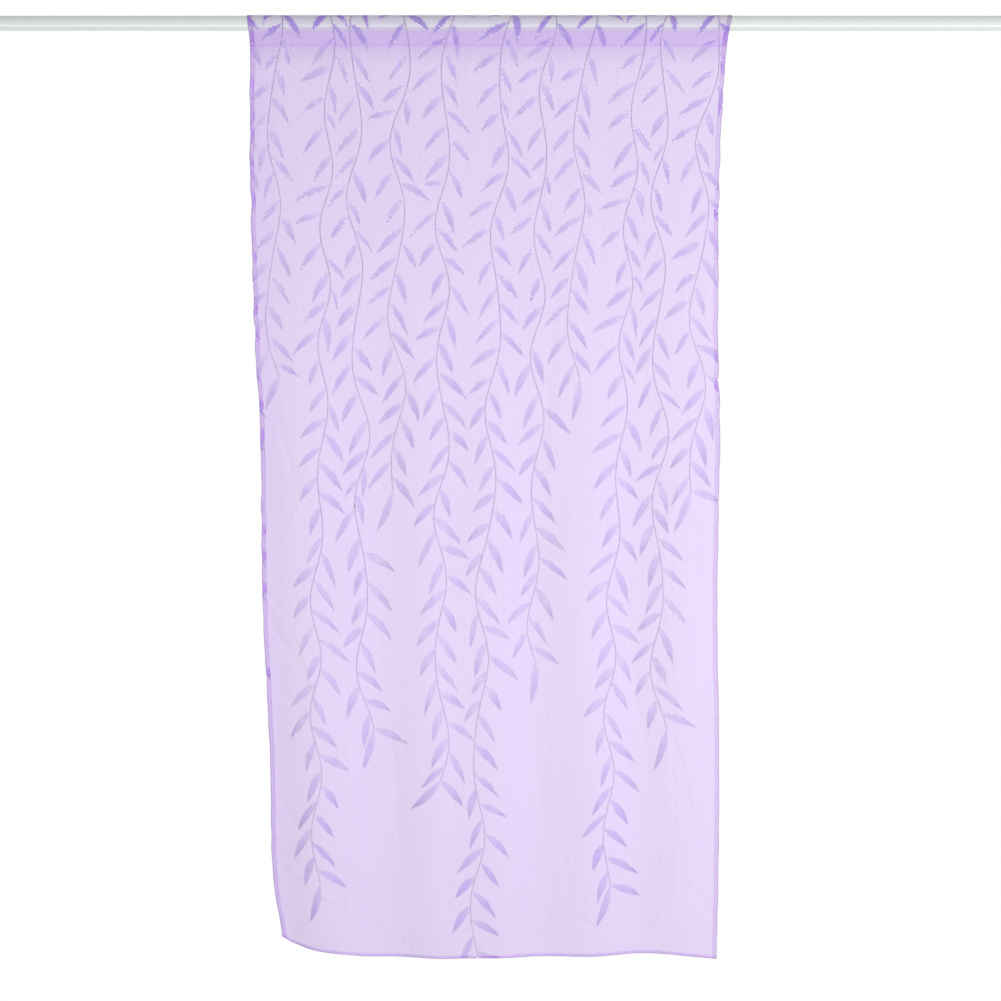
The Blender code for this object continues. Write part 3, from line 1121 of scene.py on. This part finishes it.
weave = build_weave()
print("the weave's inputs:", [s.name for s in weave.interface.items_tree if s.in_out == "INPUT"])

# %% [markdown]
# ## The cloth's finishes
#
# Voile is polyester, so it has a slight sheen at a slant, and it hardly has gloss. How sheer it
# is comes from Alpha: the ground stops under half of the light. At a slant more threads lie one
# behind another, so there the cloth is denser. One function dresses every sort of cloth. It is
# given two others, which work out the colour and the cover of each spot.

# %% Helpers for finishes
THREADS = 1350.0  # for each metre
SLANT_POWER = 4.0  # how suddenly the cloth grows denser as it turns away
SLANT_SHARE = 0.6
TONES = (0.85, 1.15)  # the depths at which a thread has its pale and its deep colour
RELIEF = (0.25, 0.00012)  # how strongly the threads' height is felt, and the height itself


def mix(tree, factor, first, second, kind):
    values = {"Factor": factor, "A": first, "B": second}
    return out(add(tree, "ShaderNodeMix", values, data_type=kind))


def mix_colour(tree, factor, first, second):
    return mix(tree, factor, first, second, "RGBA")


def mix_number(tree, factor, first, second):
    return mix(tree, factor, first, second, "FLOAT")


def soft_step(tree, value, start, end):
    """0 before start, 1 after end, and a soft rise between them. Start may be the larger."""
    values = {"Value": value, "From Min": start, "From Max": end}
    return out(add(tree, "ShaderNodeMapRange", values, interpolation_type="SMOOTHSTEP"))


def woven(finish, colour_of, cover_of, unevenness):
    """A cloth finish. colour_of and cover_of make its colour and cover from its node tree."""
    finish.use_nodes = True
    tree = finish.node_tree
    place = out(add(tree, "ShaderNodeUVMap", uv_map="Cut"))
    values = {
        "Place": place,
        "Threads": THREADS,
        "Cover": cover_of(tree, place),
        "Unevenness": unevenness,
    }
    threads = add(tree, "ShaderNodeGroup", values, node_tree=weave).outputs
    deep, pale = colour_of(tree, place)
    depth = soft_step(tree, threads["Depth"], *TONES)
    facing_away = add(tree, "ShaderNodeLayerWeight").outputs["Facing"]
    slant = maths(tree, "POWER", facing_away, SLANT_POWER)
    denser = maths(tree, "MULTIPLY", slant, SLANT_SHARE)
    relief = {"Height": threads["Height"], "Strength": RELIEF[0], "Distance": RELIEF[1]}
    values = {
        "Base Color": mix_colour(tree, depth, pale, deep),
        "Roughness": 0.62,
        "Specular IOR Level": 0.25,
        "Sheen Weight": 0.12,
        "Sheen Roughness": 0.35,
        "Alpha": mix_number(tree, denser, threads["Cover"], 1.0),
        "Normal": out(add(tree, "ShaderNodeBump", relief)),
    }
    set_inputs(tree, tree.nodes["Principled BSDF"], values)


print("threads for each centimetre:", THREADS / 100)

# %% Colours and cover
GROUND_COVER = 0.44
SIDE_COVER = 0.15  # of each layer that is turned in at the sides
FOOT_COVER = 0.20  # of each layer that is turned in at the foot
PAINTED_LIGHT_ROD_COVER = 0.18  # where the rod lies close behind the cloth: made more open, a painted light that lightens the pocket
BACK_COVER = 0.28  # at the back of the rod
FOLD_COVER = 0.75  # along a pressed edge
LEAF_COVER = 0.64
HEM_LEAF_COVER = 0.62  # of a leaf that is turned in with the hem
BRANCH_COVER = 0.88
# The cover of the loose bits of thread that are painted as glints.
GLINT_COVER = 0.97
KNOT_COVER = 0.95
GROUND_DEEP = (0.430, 0.218, 0.710, 1.0)
GROUND_PALE = (0.490, 0.272, 0.760, 1.0)
HEM_DEEP = (0.290, 0.185, 0.400, 1.0)
HEM_PALE = (0.350, 0.235, 0.470, 1.0)
LEAF_DEEP = (0.400, 0.245, 0.670, 1.0)
LEAF_PALE = (0.470, 0.315, 0.750, 1.0)
TIP_DEEP = (0.280, 0.150, 0.500, 1.0)
TIP_PALE = (0.335, 0.200, 0.570, 1.0)
POCKET_LEAF = (0.285, 0.160, 0.600, 1.0)
BRANCH_DEEP = (0.160, 0.080, 0.310, 1.0)
BRANCH_PALE = (0.215, 0.115, 0.385, 1.0)
# The next colour paints loose bits of thread near white, as glints: a painted highlight.
GLINT_WHITE = (0.92, 0.90, 0.97, 1.0)
KNOT_COLOUR = (0.030, 0.010, 0.055, 1.0)
print("the ground stops", GROUND_COVER, "of the light, and a leaf", LEAF_COVER)

# %% [markdown]
# A finish needs to know where on the cloth a spot lies: how high up, in which hem, near which
# fold. The first UV map holds this in metres, so each of these places is one soft step. The same
# goes for the loose bits of thread painted near white as glints, which lie thick near the top, and
# for one dark knot.

# %% Places on the cloth
TURN = 0.0005  # over which a finish changes at a turned edge
POCKET_EDGE = (0.002, 0.004)  # how far below and above the pocket's edge its change runs
FOLD_REACH = (0.0018, 0.0006)  # from a fold: where its darker line begins and where it is full


def high_up(tree, place, start, end):
    """1 near the top of the cloth, and 0 further down than start."""
    return soft_step(tree, split(tree, place)["Y"], -start, -end)


def in_pocket(tree, place, reach):
    """1 from the cut's upper edge down to reach, and 0 below it."""
    return high_up(tree, place, reach + POCKET_EDGE[0], reach - POCKET_EDGE[1])


def in_side_hem(tree, place):
    """1 on what is turned in along the two sides, and 0 between the finished edges."""
    across = split(tree, place)["X"]
    left = soft_step(tree, across, 0.0, -TURN)
    right = soft_step(tree, across, CLOTH_WIDTH, CLOTH_WIDTH + TURN)
    return maths(tree, "ADD", left, right)


def near_fold(tree, place):
    """1 along the pressed edges where the side hems and the foot's hem are folded."""
    at = split(tree, place)
    left = maths(tree, "ABSOLUTE", at["X"])
    right = maths(tree, "ABSOLUTE", maths(tree, "SUBTRACT", at["X"], CLOTH_WIDTH))
    foot = maths(tree, "ABSOLUTE", maths(tree, "ADD", at["Y"], FOOT))
    nearest = maths(tree, "MINIMUM", foot, maths(tree, "MINIMUM", left, right))
    return soft_step(tree, nearest, *FOLD_REACH)


print("places: high up, pocket, side hem, fold")

# %% Loose bits of thread painted as glints, and one knot
SPECK_SCALES = (400.0, 30.0)  # of the bits themselves, and of the patches that they lie in
BITS = (0.55, 0.61)  # between these random values a bit begins
PATCHES = (0.38, 0.54)  # and between these a patch
BARE = 0.25  # how many bits lie between the patches, as a share
SPECKLED = (1.15, 0.45)  # the place down the cloth where bits begin, and where they lie thick
KNOT = (0.2066, -1.0530, 0.0)  # on the flat cut, where the knot lies in a branch
KNOT_NARROWED = (4.5, 1.0, 1.0)  # how much narrower than long it is
KNOT_REACH = (0.0065, 0.0040)  # where it begins and where it is full, from its middle


def painted_glints(tree, place):
    """Where loose bits of thread are painted near white as glints: dense near the top, none lower.
    """
    bits, patches = [noise(tree, place, scale) for scale in SPECK_SCALES]
    bits = soft_step(tree, bits, *BITS)
    patches = soft_step(tree, patches, *PATCHES)
    patches = maths(tree, "MULTIPLY_ADD", patches, 1 - BARE, BARE)
    bits = maths(tree, "MULTIPLY", bits, patches)
    return maths(tree, "MULTIPLY", bits, high_up(tree, place, *SPECKLED))


def in_knot(tree, place):
    """1 on the one dark knot of thread, which is narrow and upright, and 0 elsewhere."""
    apart = add(tree, "ShaderNodeVectorMath", {0: place, 1: KNOT}, operation="SUBTRACT")
    values = {0: out(apart), 1: KNOT_NARROWED}
    narrowed = add(tree, "ShaderNodeVectorMath", values, operation="MULTIPLY")
    reach = add(tree, "ShaderNodeVectorMath", {0: out(narrowed)}, operation="LENGTH")
    return soft_step(tree, out(reach), *KNOT_REACH)


print("the knot is", -KNOT[1], "m down the cloth, and", KNOT[0], "m from its left edge")

# %% [markdown]
# A leaf is woven closer towards its tip and fades into the ground at its stalk. Its twill shows
# as faint slanting ribs, its edge is ragged, and high up that edge holds loose bits of thread
# painted near white as glints. Its second UV map says how far along it a spot is, and how far
# from its edge. The branches are the darkest thread of all.

# %% A leaf's colour
RIM = (0.0018, 0.0004)  # a leaf's rim: where it begins and where it is full, from the edge
RIM_DARK = 0.55
EDGE_GLINTS = (0.0040, 0.0012)  # the same for the painted glints along its edge
TIP_BEGINS = 0.35  # the share of a leaf at which it starts to darken towards its tip
TIP_DARK = 0.75


def leaf_place(tree):
    """How far along a leaf a spot is, from 0 to 1, and how far from its edge, in metres."""
    at = split(tree, out(add(tree, "ShaderNodeUVMap", uv_map="Leaf")))
    return at["X"], at["Y"]


def painted_glint_edge(tree, place, from_edge):
    """1 where a painted glint lies near a leaf's edge."""
    return maths(tree, "MULTIPLY", painted_glints(tree, place), soft_step(tree, from_edge, *EDGE_GLINTS))


def leaf_colour(tree, place):
    """A leaf's fill is clear lilac, and its tip and its rim are darker and greyer."""
    along, from_edge = leaf_place(tree)
    rim = maths(tree, "MULTIPLY", soft_step(tree, from_edge, *RIM), RIM_DARK)
    tip = maths(tree, "MULTIPLY", soft_step(tree, along, TIP_BEGINS, 1.0), TIP_DARK)
    dark = maths(tree, "MAXIMUM", tip, rim)
    pocket = in_pocket(tree, place, POCKET_REACH)
    # Painted glints: loose bits of thread painted near white along the edge.
    glint = painted_glint_edge(tree, place, from_edge)
    tones = []
    for fill, end in ((LEAF_DEEP, TIP_DEEP), (LEAF_PALE, TIP_PALE)):
        tone = mix_colour(tree, dark, fill, end)
        tone = mix_colour(tree, pocket, tone, POCKET_LEAF)
        tones.append(mix_colour(tree, glint, tone, GLINT_WHITE))
    return tones


print("a leaf darkens over the last", round(1 - TIP_BEGINS, 2), "of its length")

# %% A leaf's cover inside its edge
HATCH = 0.0060  # from one rib of the leaves' twill to the next
TWILL_SLANT = 0.8
TWILL_COVER = 0.20
STRAYED = (120.0, 0.004)  # the scale of the ribs' unsteadiness, and how far it reaches
STALK_FADES = (-0.75, -0.62)  # where a stalk's fading would start, low down and high up
STALK_ENDS = 0.60  # the share of a leaf by which that fading is over
HIGH_LEAVES = (1.6, 0.6)  # the places down the cloth between which leaves grow denser upwards
HIGH_COVER = 0.07
LOW_LEAVES = (1.40, 1.75)  # and those between which they grow denser downwards
LOW_COVER = 0.10
VARIED = (22.0, 0.30)  # the scale and the strength of how leaves differ
MOTTLED = (240.0, 0.50)  # the same for the small mottle within each
RIM_COVER = 0.14


def twill(tree, place):
    """The slanting ribs of a leaf's weave, as a slightly unsteady wave."""
    at = split(tree, place)
    scale, reach = STRAYED
    ribs = maths(tree, "MULTIPLY_ADD", at["Y"], TWILL_SLANT, at["X"])
    strayed = maths(tree, "MULTIPLY_ADD", noise(tree, place, scale), reach, ribs)
    return maths(tree, "SINE", maths(tree, "MULTIPLY", strayed, math.tau / HATCH))


def spread(tree, place, scale, strength, mean):
    """Soft random values about a mean. The strength is how far apart they may lie."""
    return maths(
        tree, "MULTIPLY_ADD", noise(tree, place, scale), strength, mean - strength / 2
    )


def leaf_fill(tree, place, along, from_edge, hatch):
    """A leaf's cover inside its edge, which grows from its stalk to its tip."""
    high = high_up(tree, place, *HIGH_LEAVES)
    low = soft_step(tree, split(tree, place)["Y"], *[-down for down in LOW_LEAVES])
    ends = maths(tree, "MULTIPLY_ADD", high, HIGH_COVER, maths(tree, "MULTIPLY", low, LOW_COVER))
    full = maths(tree, "ADD", spread(tree, place, *VARIED, LEAF_COVER), ends)
    stalk = soft_step(tree, along, mix_number(tree, high, *STALK_FADES), STALK_ENDS)
    grown = mix_number(tree, stalk, GROUND_COVER, full)
    mottle = spread(tree, place, *MOTTLED, 0.0)
    grown = maths(tree, "ADD", maths(tree, "MULTIPLY_ADD", hatch, TWILL_COVER, grown), mottle)
    return maths(tree, "MULTIPLY_ADD", soft_step(tree, from_edge, *RIM), RIM_COVER, grown)


print("ribs of the twill for each centimetre:", round(0.01 / HATCH, 1))

# %% A leaf's edge
RAGGED = (420.0, 0.0036)  # the scale of a ragged edge, and how far it reaches
RAG_LESS = 0.0009  # what is taken off that reach, so that parts of the edge stay whole
RAG_RIB = 0.0011  # how far each rib of the twill reaches out there
RAG_LEAST = 0.0003
RAG_START = 0.4  # the share of the rag where the leaf begins to thin out


def leaf_cover(tree, place):
    """A leaf's cover, with its ragged edge, its turned-in parts and its painted glints."""
    along, from_edge = leaf_place(tree)
    hatch = twill(tree, place)
    grown = leaf_fill(tree, place, along, from_edge, hatch)
    scale, reach = RAGGED
    ragged = maths(tree, "MULTIPLY_ADD", noise(tree, place, scale), reach, -RAG_LESS)
    ragged = maths(tree, "MULTIPLY_ADD", hatch, -RAG_RIB, ragged)
    ragged = maths(tree, "MAXIMUM", ragged, RAG_LEAST)
    inside = soft_step(tree, from_edge, maths(tree, "MULTIPLY", ragged, RAG_START), ragged)
    shaped = mix_number(tree, inside, GROUND_COVER, grown)
    shaped = mix_number(tree, in_side_hem(tree, place), shaped, HEM_LEAF_COVER)
    return mix_number(tree, painted_glint_edge(tree, place, from_edge), shaped, GLINT_COVER)


woven(leaf_cloth, leaf_colour, leaf_cover, unevenness=0.18)
print("dressed:", leaf_cloth.name)

# %% The branches
# How strongly the painted glints show on a branch.
BRANCH_SHINE = 0.6


def branch_colour(tree, place):
    """A branch's thread is the darkest, with a few painted glints high up and one dark knot."""
    glint = maths(tree, "MULTIPLY", painted_glints(tree, place), BRANCH_SHINE)
    pale = mix_colour(tree, glint, BRANCH_PALE, GLINT_WHITE)
    knot = in_knot(tree, place)
    return [mix_colour(tree, knot, tone, KNOT_COLOUR) for tone in (BRANCH_DEEP, pale)]


woven(branch_cloth, branch_colour, lambda tree, place: BRANCH_COVER, unevenness=0.25)
print("dressed:", branch_cloth.name)

# %% [markdown]
# The ground is plain voile, but it is not the same everywhere. The cloth's own edges are woven
# more open, so that the hems turned from them stay light. Just under the seam the cloth is made
# denser, which is painted shade from the rod and pocket above, and towards the left edge it is
# made denser too, which is painted shade on that side. Over the rod it is made more open, so the
# pale rod close behind shows through more: painted light, which lightens the pocket.

# %% The ground
LEFT_SHADE_REACH = 0.085  # how far in from the left edge the cloth is made denser, as painted shade
LEFT_SHADE_COVER = 0.055
# Just under the seam the cloth is made denser, and so darker: painted shade of the rod and pocket
# above.
SEAM_SHADE_REACH = 0.045  # how far below the seam the painted shade reaches
SEAM_SHADE_COVER = 0.04
ROD_NEAR = 0.012  # how far below the rod's side the painted light over the rod still reaches


def ground_cover(tree, place):
    """The cover of the plain voile, from the foot up over the rod to the turned edge behind."""
    at = split(tree, place)
    side = mix_number(tree, in_side_hem(tree, place), GROUND_COVER, SIDE_COVER)
    foot = soft_step(tree, at["Y"], -FOOT, -FOOT - TURN)
    # Painted shade: denser, and so darker, towards the left edge.
    left = maths(tree, "MULTIPLY", soft_step(tree, at["X"], LEFT_SHADE_REACH, 0.0), LEFT_SHADE_COVER)
    hemmed = maths(tree, "ADD", mix_number(tree, foot, side, FOOT_COVER), left)
    # Painted shade under the seam.
    seam_shade = high_up(tree, place, POCKET_REACH + SEAM_SHADE_REACH, POCKET_REACH)
    cover = maths(tree, "MULTIPLY_ADD", seam_shade, SEAM_SHADE_COVER, hemmed)
    # Over the rod the cloth is made more open, which is painted light: the pocket reads lighter.
    for reach, next_cover in (
        (POCKET_REACH, GROUND_COVER),
        (WRAP + ROD_NEAR, PAINTED_LIGHT_ROD_COVER),
        (-WRAP, BACK_COVER),
        (-POCKET_REACH, SIDE_COVER),
    ):
        cover = mix_number(tree, in_pocket(tree, place, reach), cover, next_cover)
    pressed = mix_number(tree, near_fold(tree, place), cover, FOLD_COVER)
    return mix_number(tree, in_knot(tree, place), pressed, KNOT_COVER)


def ground_colour(tree, place):
    """What is turned in is seen through the front, so it is a little darker and greyer."""
    hem = maths(tree, "MAXIMUM", in_side_hem(tree, place), near_fold(tree, place))
    knot = in_knot(tree, place)
    tones = []
    for plain, turned_in_tone in ((GROUND_DEEP, HEM_DEEP), (GROUND_PALE, HEM_PALE)):
        tone = mix_colour(tree, hem, plain, turned_in_tone)
        tones.append(mix_colour(tree, knot, tone, KNOT_COLOUR))
    return tones


woven(voile, ground_colour, ground_cover, unevenness=0.10)
print("dressed:", voile.name)

# %% [markdown]
# ## Lacquer, plastic and thread
#
# The rod is steel under a pale, glossy lacquer, which flows before it dries and leaves a faint
# waviness. Handling leaves a few small scuffs, where it is duller. The caps are moulded plastic
# in nearly the same shade, with a fine grain from the mould, and the stitches are a matt lilac
# thread. The scuffs are a group, because every hard finish uses them.

# %% The scuffs, as a group
SCUFF_PATCHES = (0.52, 0.70)  # between these random values a patch of scuffs begins
SCUFF_MARKS = (0.58, 0.70)  # and between these a mark in it
PATCH_SCALE = 7.0


def build_scuffs():
    """Where a hard finish is rubbed dull: small marks that lie in a few patches."""
    number = "NodeSocketFloat"
    inputs = (("Place", "NodeSocketVector"), ("Size", number), ("Amount", number))
    tree = new_group("scuffs", "ShaderNodeTree", inputs, [("Mask", number)])
    given = add(tree, "NodeGroupInput").outputs
    patches = noise(tree, given["Place"], PATCH_SCALE, detail=2.0, roughness=0.5)
    scale = maths(tree, "DIVIDE", 1.0, given["Size"])
    rubbed = noise(tree, given["Place"], scale, detail=5.0, roughness=0.7)
    patches = soft_step(tree, patches, *SCUFF_PATCHES)
    spots = maths(tree, "MULTIPLY", patches, soft_step(tree, rubbed, *SCUFF_MARKS))
    add(tree, "NodeGroupOutput", {"Mask": maths(tree, "MULTIPLY", spots, given["Amount"])})
    return tree


scuffs = build_scuffs()
print("the scuffs' inputs:", [s.name for s in scuffs.interface.items_tree if s.in_out == "INPUT"])

# %% Lacquer, plastic and thread
SCUFF_SIZE = 0.004
SCUFFED_ROUGHNESS = 0.6
GRAIN_FELT = 0.5  # how strongly the fine relief is felt


def hard_finish(finish, colour, worn, roughness, grain, grain_height, scuffed, coat=None):
    """A hard finish: its own colour, scuffs, and a fine relief of the given grain."""
    finish.use_nodes = True
    tree = finish.node_tree
    place = add(tree, "ShaderNodeTexCoord").outputs["Object"]
    values = {"Place": place, "Size": SCUFF_SIZE, "Amount": scuffed}
    mask = add(tree, "ShaderNodeGroup", values, node_tree=scuffs).outputs["Mask"]
    fine = noise(tree, place, 1 / grain, detail=2.0, roughness=0.5)
    relief = {"Height": fine, "Strength": GRAIN_FELT, "Distance": grain_height}
    values = {
        "Base Color": mix_colour(tree, mask, colour, worn),
        "Roughness": mix_number(tree, mask, roughness, SCUFFED_ROUGHNESS),
        "Normal": out(add(tree, "ShaderNodeBump", relief)),
    }
    set_inputs(tree, tree.nodes["Principled BSDF"], values | (coat or {}))


hard_finish(
    lacquer,
    colour=(0.63, 0.67, 0.635, 1),
    worn=(0.50, 0.54, 0.51, 1),
    roughness=0.16,
    grain=0.006,
    grain_height=0.00004,
    scuffed=0.8,
    coat={"Coat Weight": 1.0, "Coat IOR": 1.9, "Coat Roughness": 0.06},
)
hard_finish(
    plastic,
    colour=(0.68, 0.72, 0.68, 1),
    worn=(0.56, 0.60, 0.56, 1),
    roughness=0.38,
    grain=0.0007,
    grain_height=0.00005,
    scuffed=0.5,
)
hard_finish(
    thread_finish,
    colour=(0.40, 0.26, 0.58, 1),
    worn=(0.55, 0.41, 0.72, 1),
    roughness=0.55,
    grain=0.0003,
    grain_height=0.00006,
    scuffed=1.0,
)
print("hard finishes:", lacquer.name, plastic.name, thread_finish.name)

# %% [markdown]
# ## The floor and the light
#
# A sheer cloth is seen against what is behind it, so the room is white and evenly lit. The floor
# is a pale slab well below the foot. It is laid as a real slab with rounded edges, and not as a
# bare plane, so that it also looks right from below and from the side.

# %% Lay the floor
FLOOR = panel_low.z - 0.25
FLOOR_SIDES = (MIDDLE - 1.6, MIDDLE + 1.6)
FLOOR_ENDS = (-1.15, 0.75)
FLOOR_THICKNESS = 0.02
FLOOR_EDGE = 0.006


def floor_slab():
    """A thin slab with rounded edges, its top at the level of the floor."""
    heights = (FLOOR - FLOOR_THICKNESS, FLOOR)
    corners = [(x, y, z) for x in FLOOR_SIDES for y in FLOOR_ENDS for z in heights]
    faces = [(0, 1, 3, 2), (4, 6, 7, 5), (0, 4, 5, 1), (2, 3, 7, 6), (0, 2, 6, 4), (1, 5, 7, 3)]
    mesh = bpy.data.meshes.new("floor")
    mesh.from_pydata(corners, [], faces)
    slab = in_scene("floor", mesh)
    bevel = slab.modifiers.new("Edge", "BEVEL")
    bevel.width = FLOOR_EDGE
    bevel.segments = 3
    return slab


floor = floor_slab()
paint = bpy.data.materials.new("floor_paint")
hard_finish(
    paint,
    colour=(0.86, 0.86, 0.86, 1),
    worn=(0.82, 0.82, 0.82, 1),
    roughness=0.7,
    grain=0.003,
    grain_height=0.0002,
    scuffed=0.5,
)
floor.data.materials.append(paint)
print("floor is", round(panel_low.z - FLOOR, 2), "m below the foot")

# %% [markdown]
# The world lights the scene from all around, and it answers three kinds of look. Where the camera
# looks straight at it, it is pure white. Where the camera looks through the cloth, it is a white
# wall with soft shades. To everything else it is a room with light and dark bands, which is what
# the lacquered rod reflects. Lamps alone would need a great many to do this.

# %% Light the room from all around
# Each row of BANDS: a height in the room, from 0 straight below to 1 straight above, and how
# bright the room is there. The two dark bands are what draws fine lines along the rod.
BANDS = (
    (0.38, 0.92),
    (0.62, 0.74),
    (0.80, 0.86),
    (0.84, 0.0),
    (0.87, 0.86),
    (0.885, 0.86),
    (0.91, 0.0),
    (0.935, 0.86),
)
BELOW_ALL = (1.00, 1.00, 1.00, 1)
ABOVE_ALL = (0.70, 0.72, 0.71, 1)
WHITE = (1, 1, 1, 1)
# Each row of WALL_SHADES: the height on the wall where a shade begins and where it is full, as
# the upward share of the way there, and how dark it is.
WALL_SHADES = (
    (0.02, 0.16, 0.085),
    (-0.03, -0.16, 0.068),
    (0.128, 0.137, 0.13),
)
WALL_GRADE = 0.66  # how much brighter the wall grows for each whole share to the right
ASIDE = 0.16  # past this share to the left or right it grows no brighter or darker
ROOM_GRADE = 0.24  # the same for the room, which has no such end
ROOM_LIGHT = 0.94  # the room's brightness straight ahead


def light_world():
    """A world that looks different straight ahead, through the cloth, and in reflections."""
    world = bpy.data.worlds.new("white_room")
    bpy.context.scene.world = world
    world.use_nodes = True
    tree = world.node_tree
    tree.nodes.clear()
    way = split(tree, add(tree, "ShaderNodeTexCoord").outputs["Generated"])
    path = add(tree, "ShaderNodeLightPath").outputs

    height = maths(tree, "MULTIPLY_ADD", way["Z"], 0.5, 0.5)
    ramp = add(tree, "ShaderNodeValToRGB", {"Fac": height})
    bands = ramp.color_ramp.elements
    bands[0].color = BELOW_ALL
    bands[1].color = ABOVE_ALL
    for place, shade in BANDS:
        bands.new(place).color = (shade, shade, shade, 1)
    sideways = maths(tree, "MULTIPLY_ADD", way["X"], ROOM_GRADE, ROOM_LIGHT)

    aside = maths(tree, "MAXIMUM", maths(tree, "MINIMUM", way["X"], ASIDE), -ASIDE)
    wall = maths(tree, "MULTIPLY_ADD", aside, WALL_GRADE, 1.0)
    for begins, full, shade in WALL_SHADES:
        wall = maths(tree, "MULTIPLY_ADD", soft_step(tree, way["Z"], begins, full), -shade, wall)

    plain, behind, room = [
        out(add(tree, "ShaderNodeBackground", {"Color": colour, "Strength": strength}))
        for colour, strength in ((WHITE, 1.0), (WHITE, wall), (ramp.outputs["Color"], sideways))
    ]
    through = maths(tree, "GREATER_THAN", path["Transparent Depth"], 0.5)
    seen = out(add(tree, "ShaderNodeMixShader", {0: through, 1: plain, 2: behind}))
    both = out(add(tree, "ShaderNodeMixShader", {0: path["Is Camera Ray"], 1: room, 2: seen}))
    add(tree, "ShaderNodeOutputWorld", {"Surface": both})


light_world()
bpy.context.scene.view_settings.view_transform = "Standard"
print("bands in the room:", len(BANDS))

# %% [markdown]
# Two broad lamps add to this. The larger one, from the right, shapes the folds. It is kept out of
# reflections, where it would draw a wide white stripe on the rod. The low one does show there,
# as a thin highlight along the rod.

# %% Hang the lamps


def add_lamp(name, place, aim, size, power):
    """A rectangular lamp at place, turned towards aim."""
    light = bpy.data.lights.new(name, "AREA")
    light.shape = "RECTANGLE"
    light.size, light.size_y = size
    light.energy = power
    lamp = in_scene(name, light)
    lamp.location = place
    lamp.rotation_euler = (Vector(aim) - Vector(place)).to_track_quat("-Z", "Y").to_euler()
    return lamp


key = add_lamp("key", (MIDDLE + 1.8, -3.6, -0.6), (MIDDLE, 0, -1.1), (1.6, 2.2), 55)
key.visible_glossy = False
low_strip = add_lamp(
    "low_strip", (MIDDLE + 0.2, -2.0, -2.05), (MIDDLE, 0, -0.5), (3.6, 1.0), 15
)
print("lamps:", key.name, low_strip.name)

# %% [markdown]
# ## Tie each piece to the model
#
# Last, each piece is told what it rides on, and the imported nodes that the pieces stand for are
# hidden.

# %% Say what each piece is
for piece in (cloth, leaves, stems, stitches, rod, left_cap, right_cap):
    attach(piece, "root")
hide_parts("curtain_panel")
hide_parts("rod_tube")
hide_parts("rod_cap_left")
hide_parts("rod_cap_right")
print("the cloth is declared as a sheet that hangs on", rod.name)
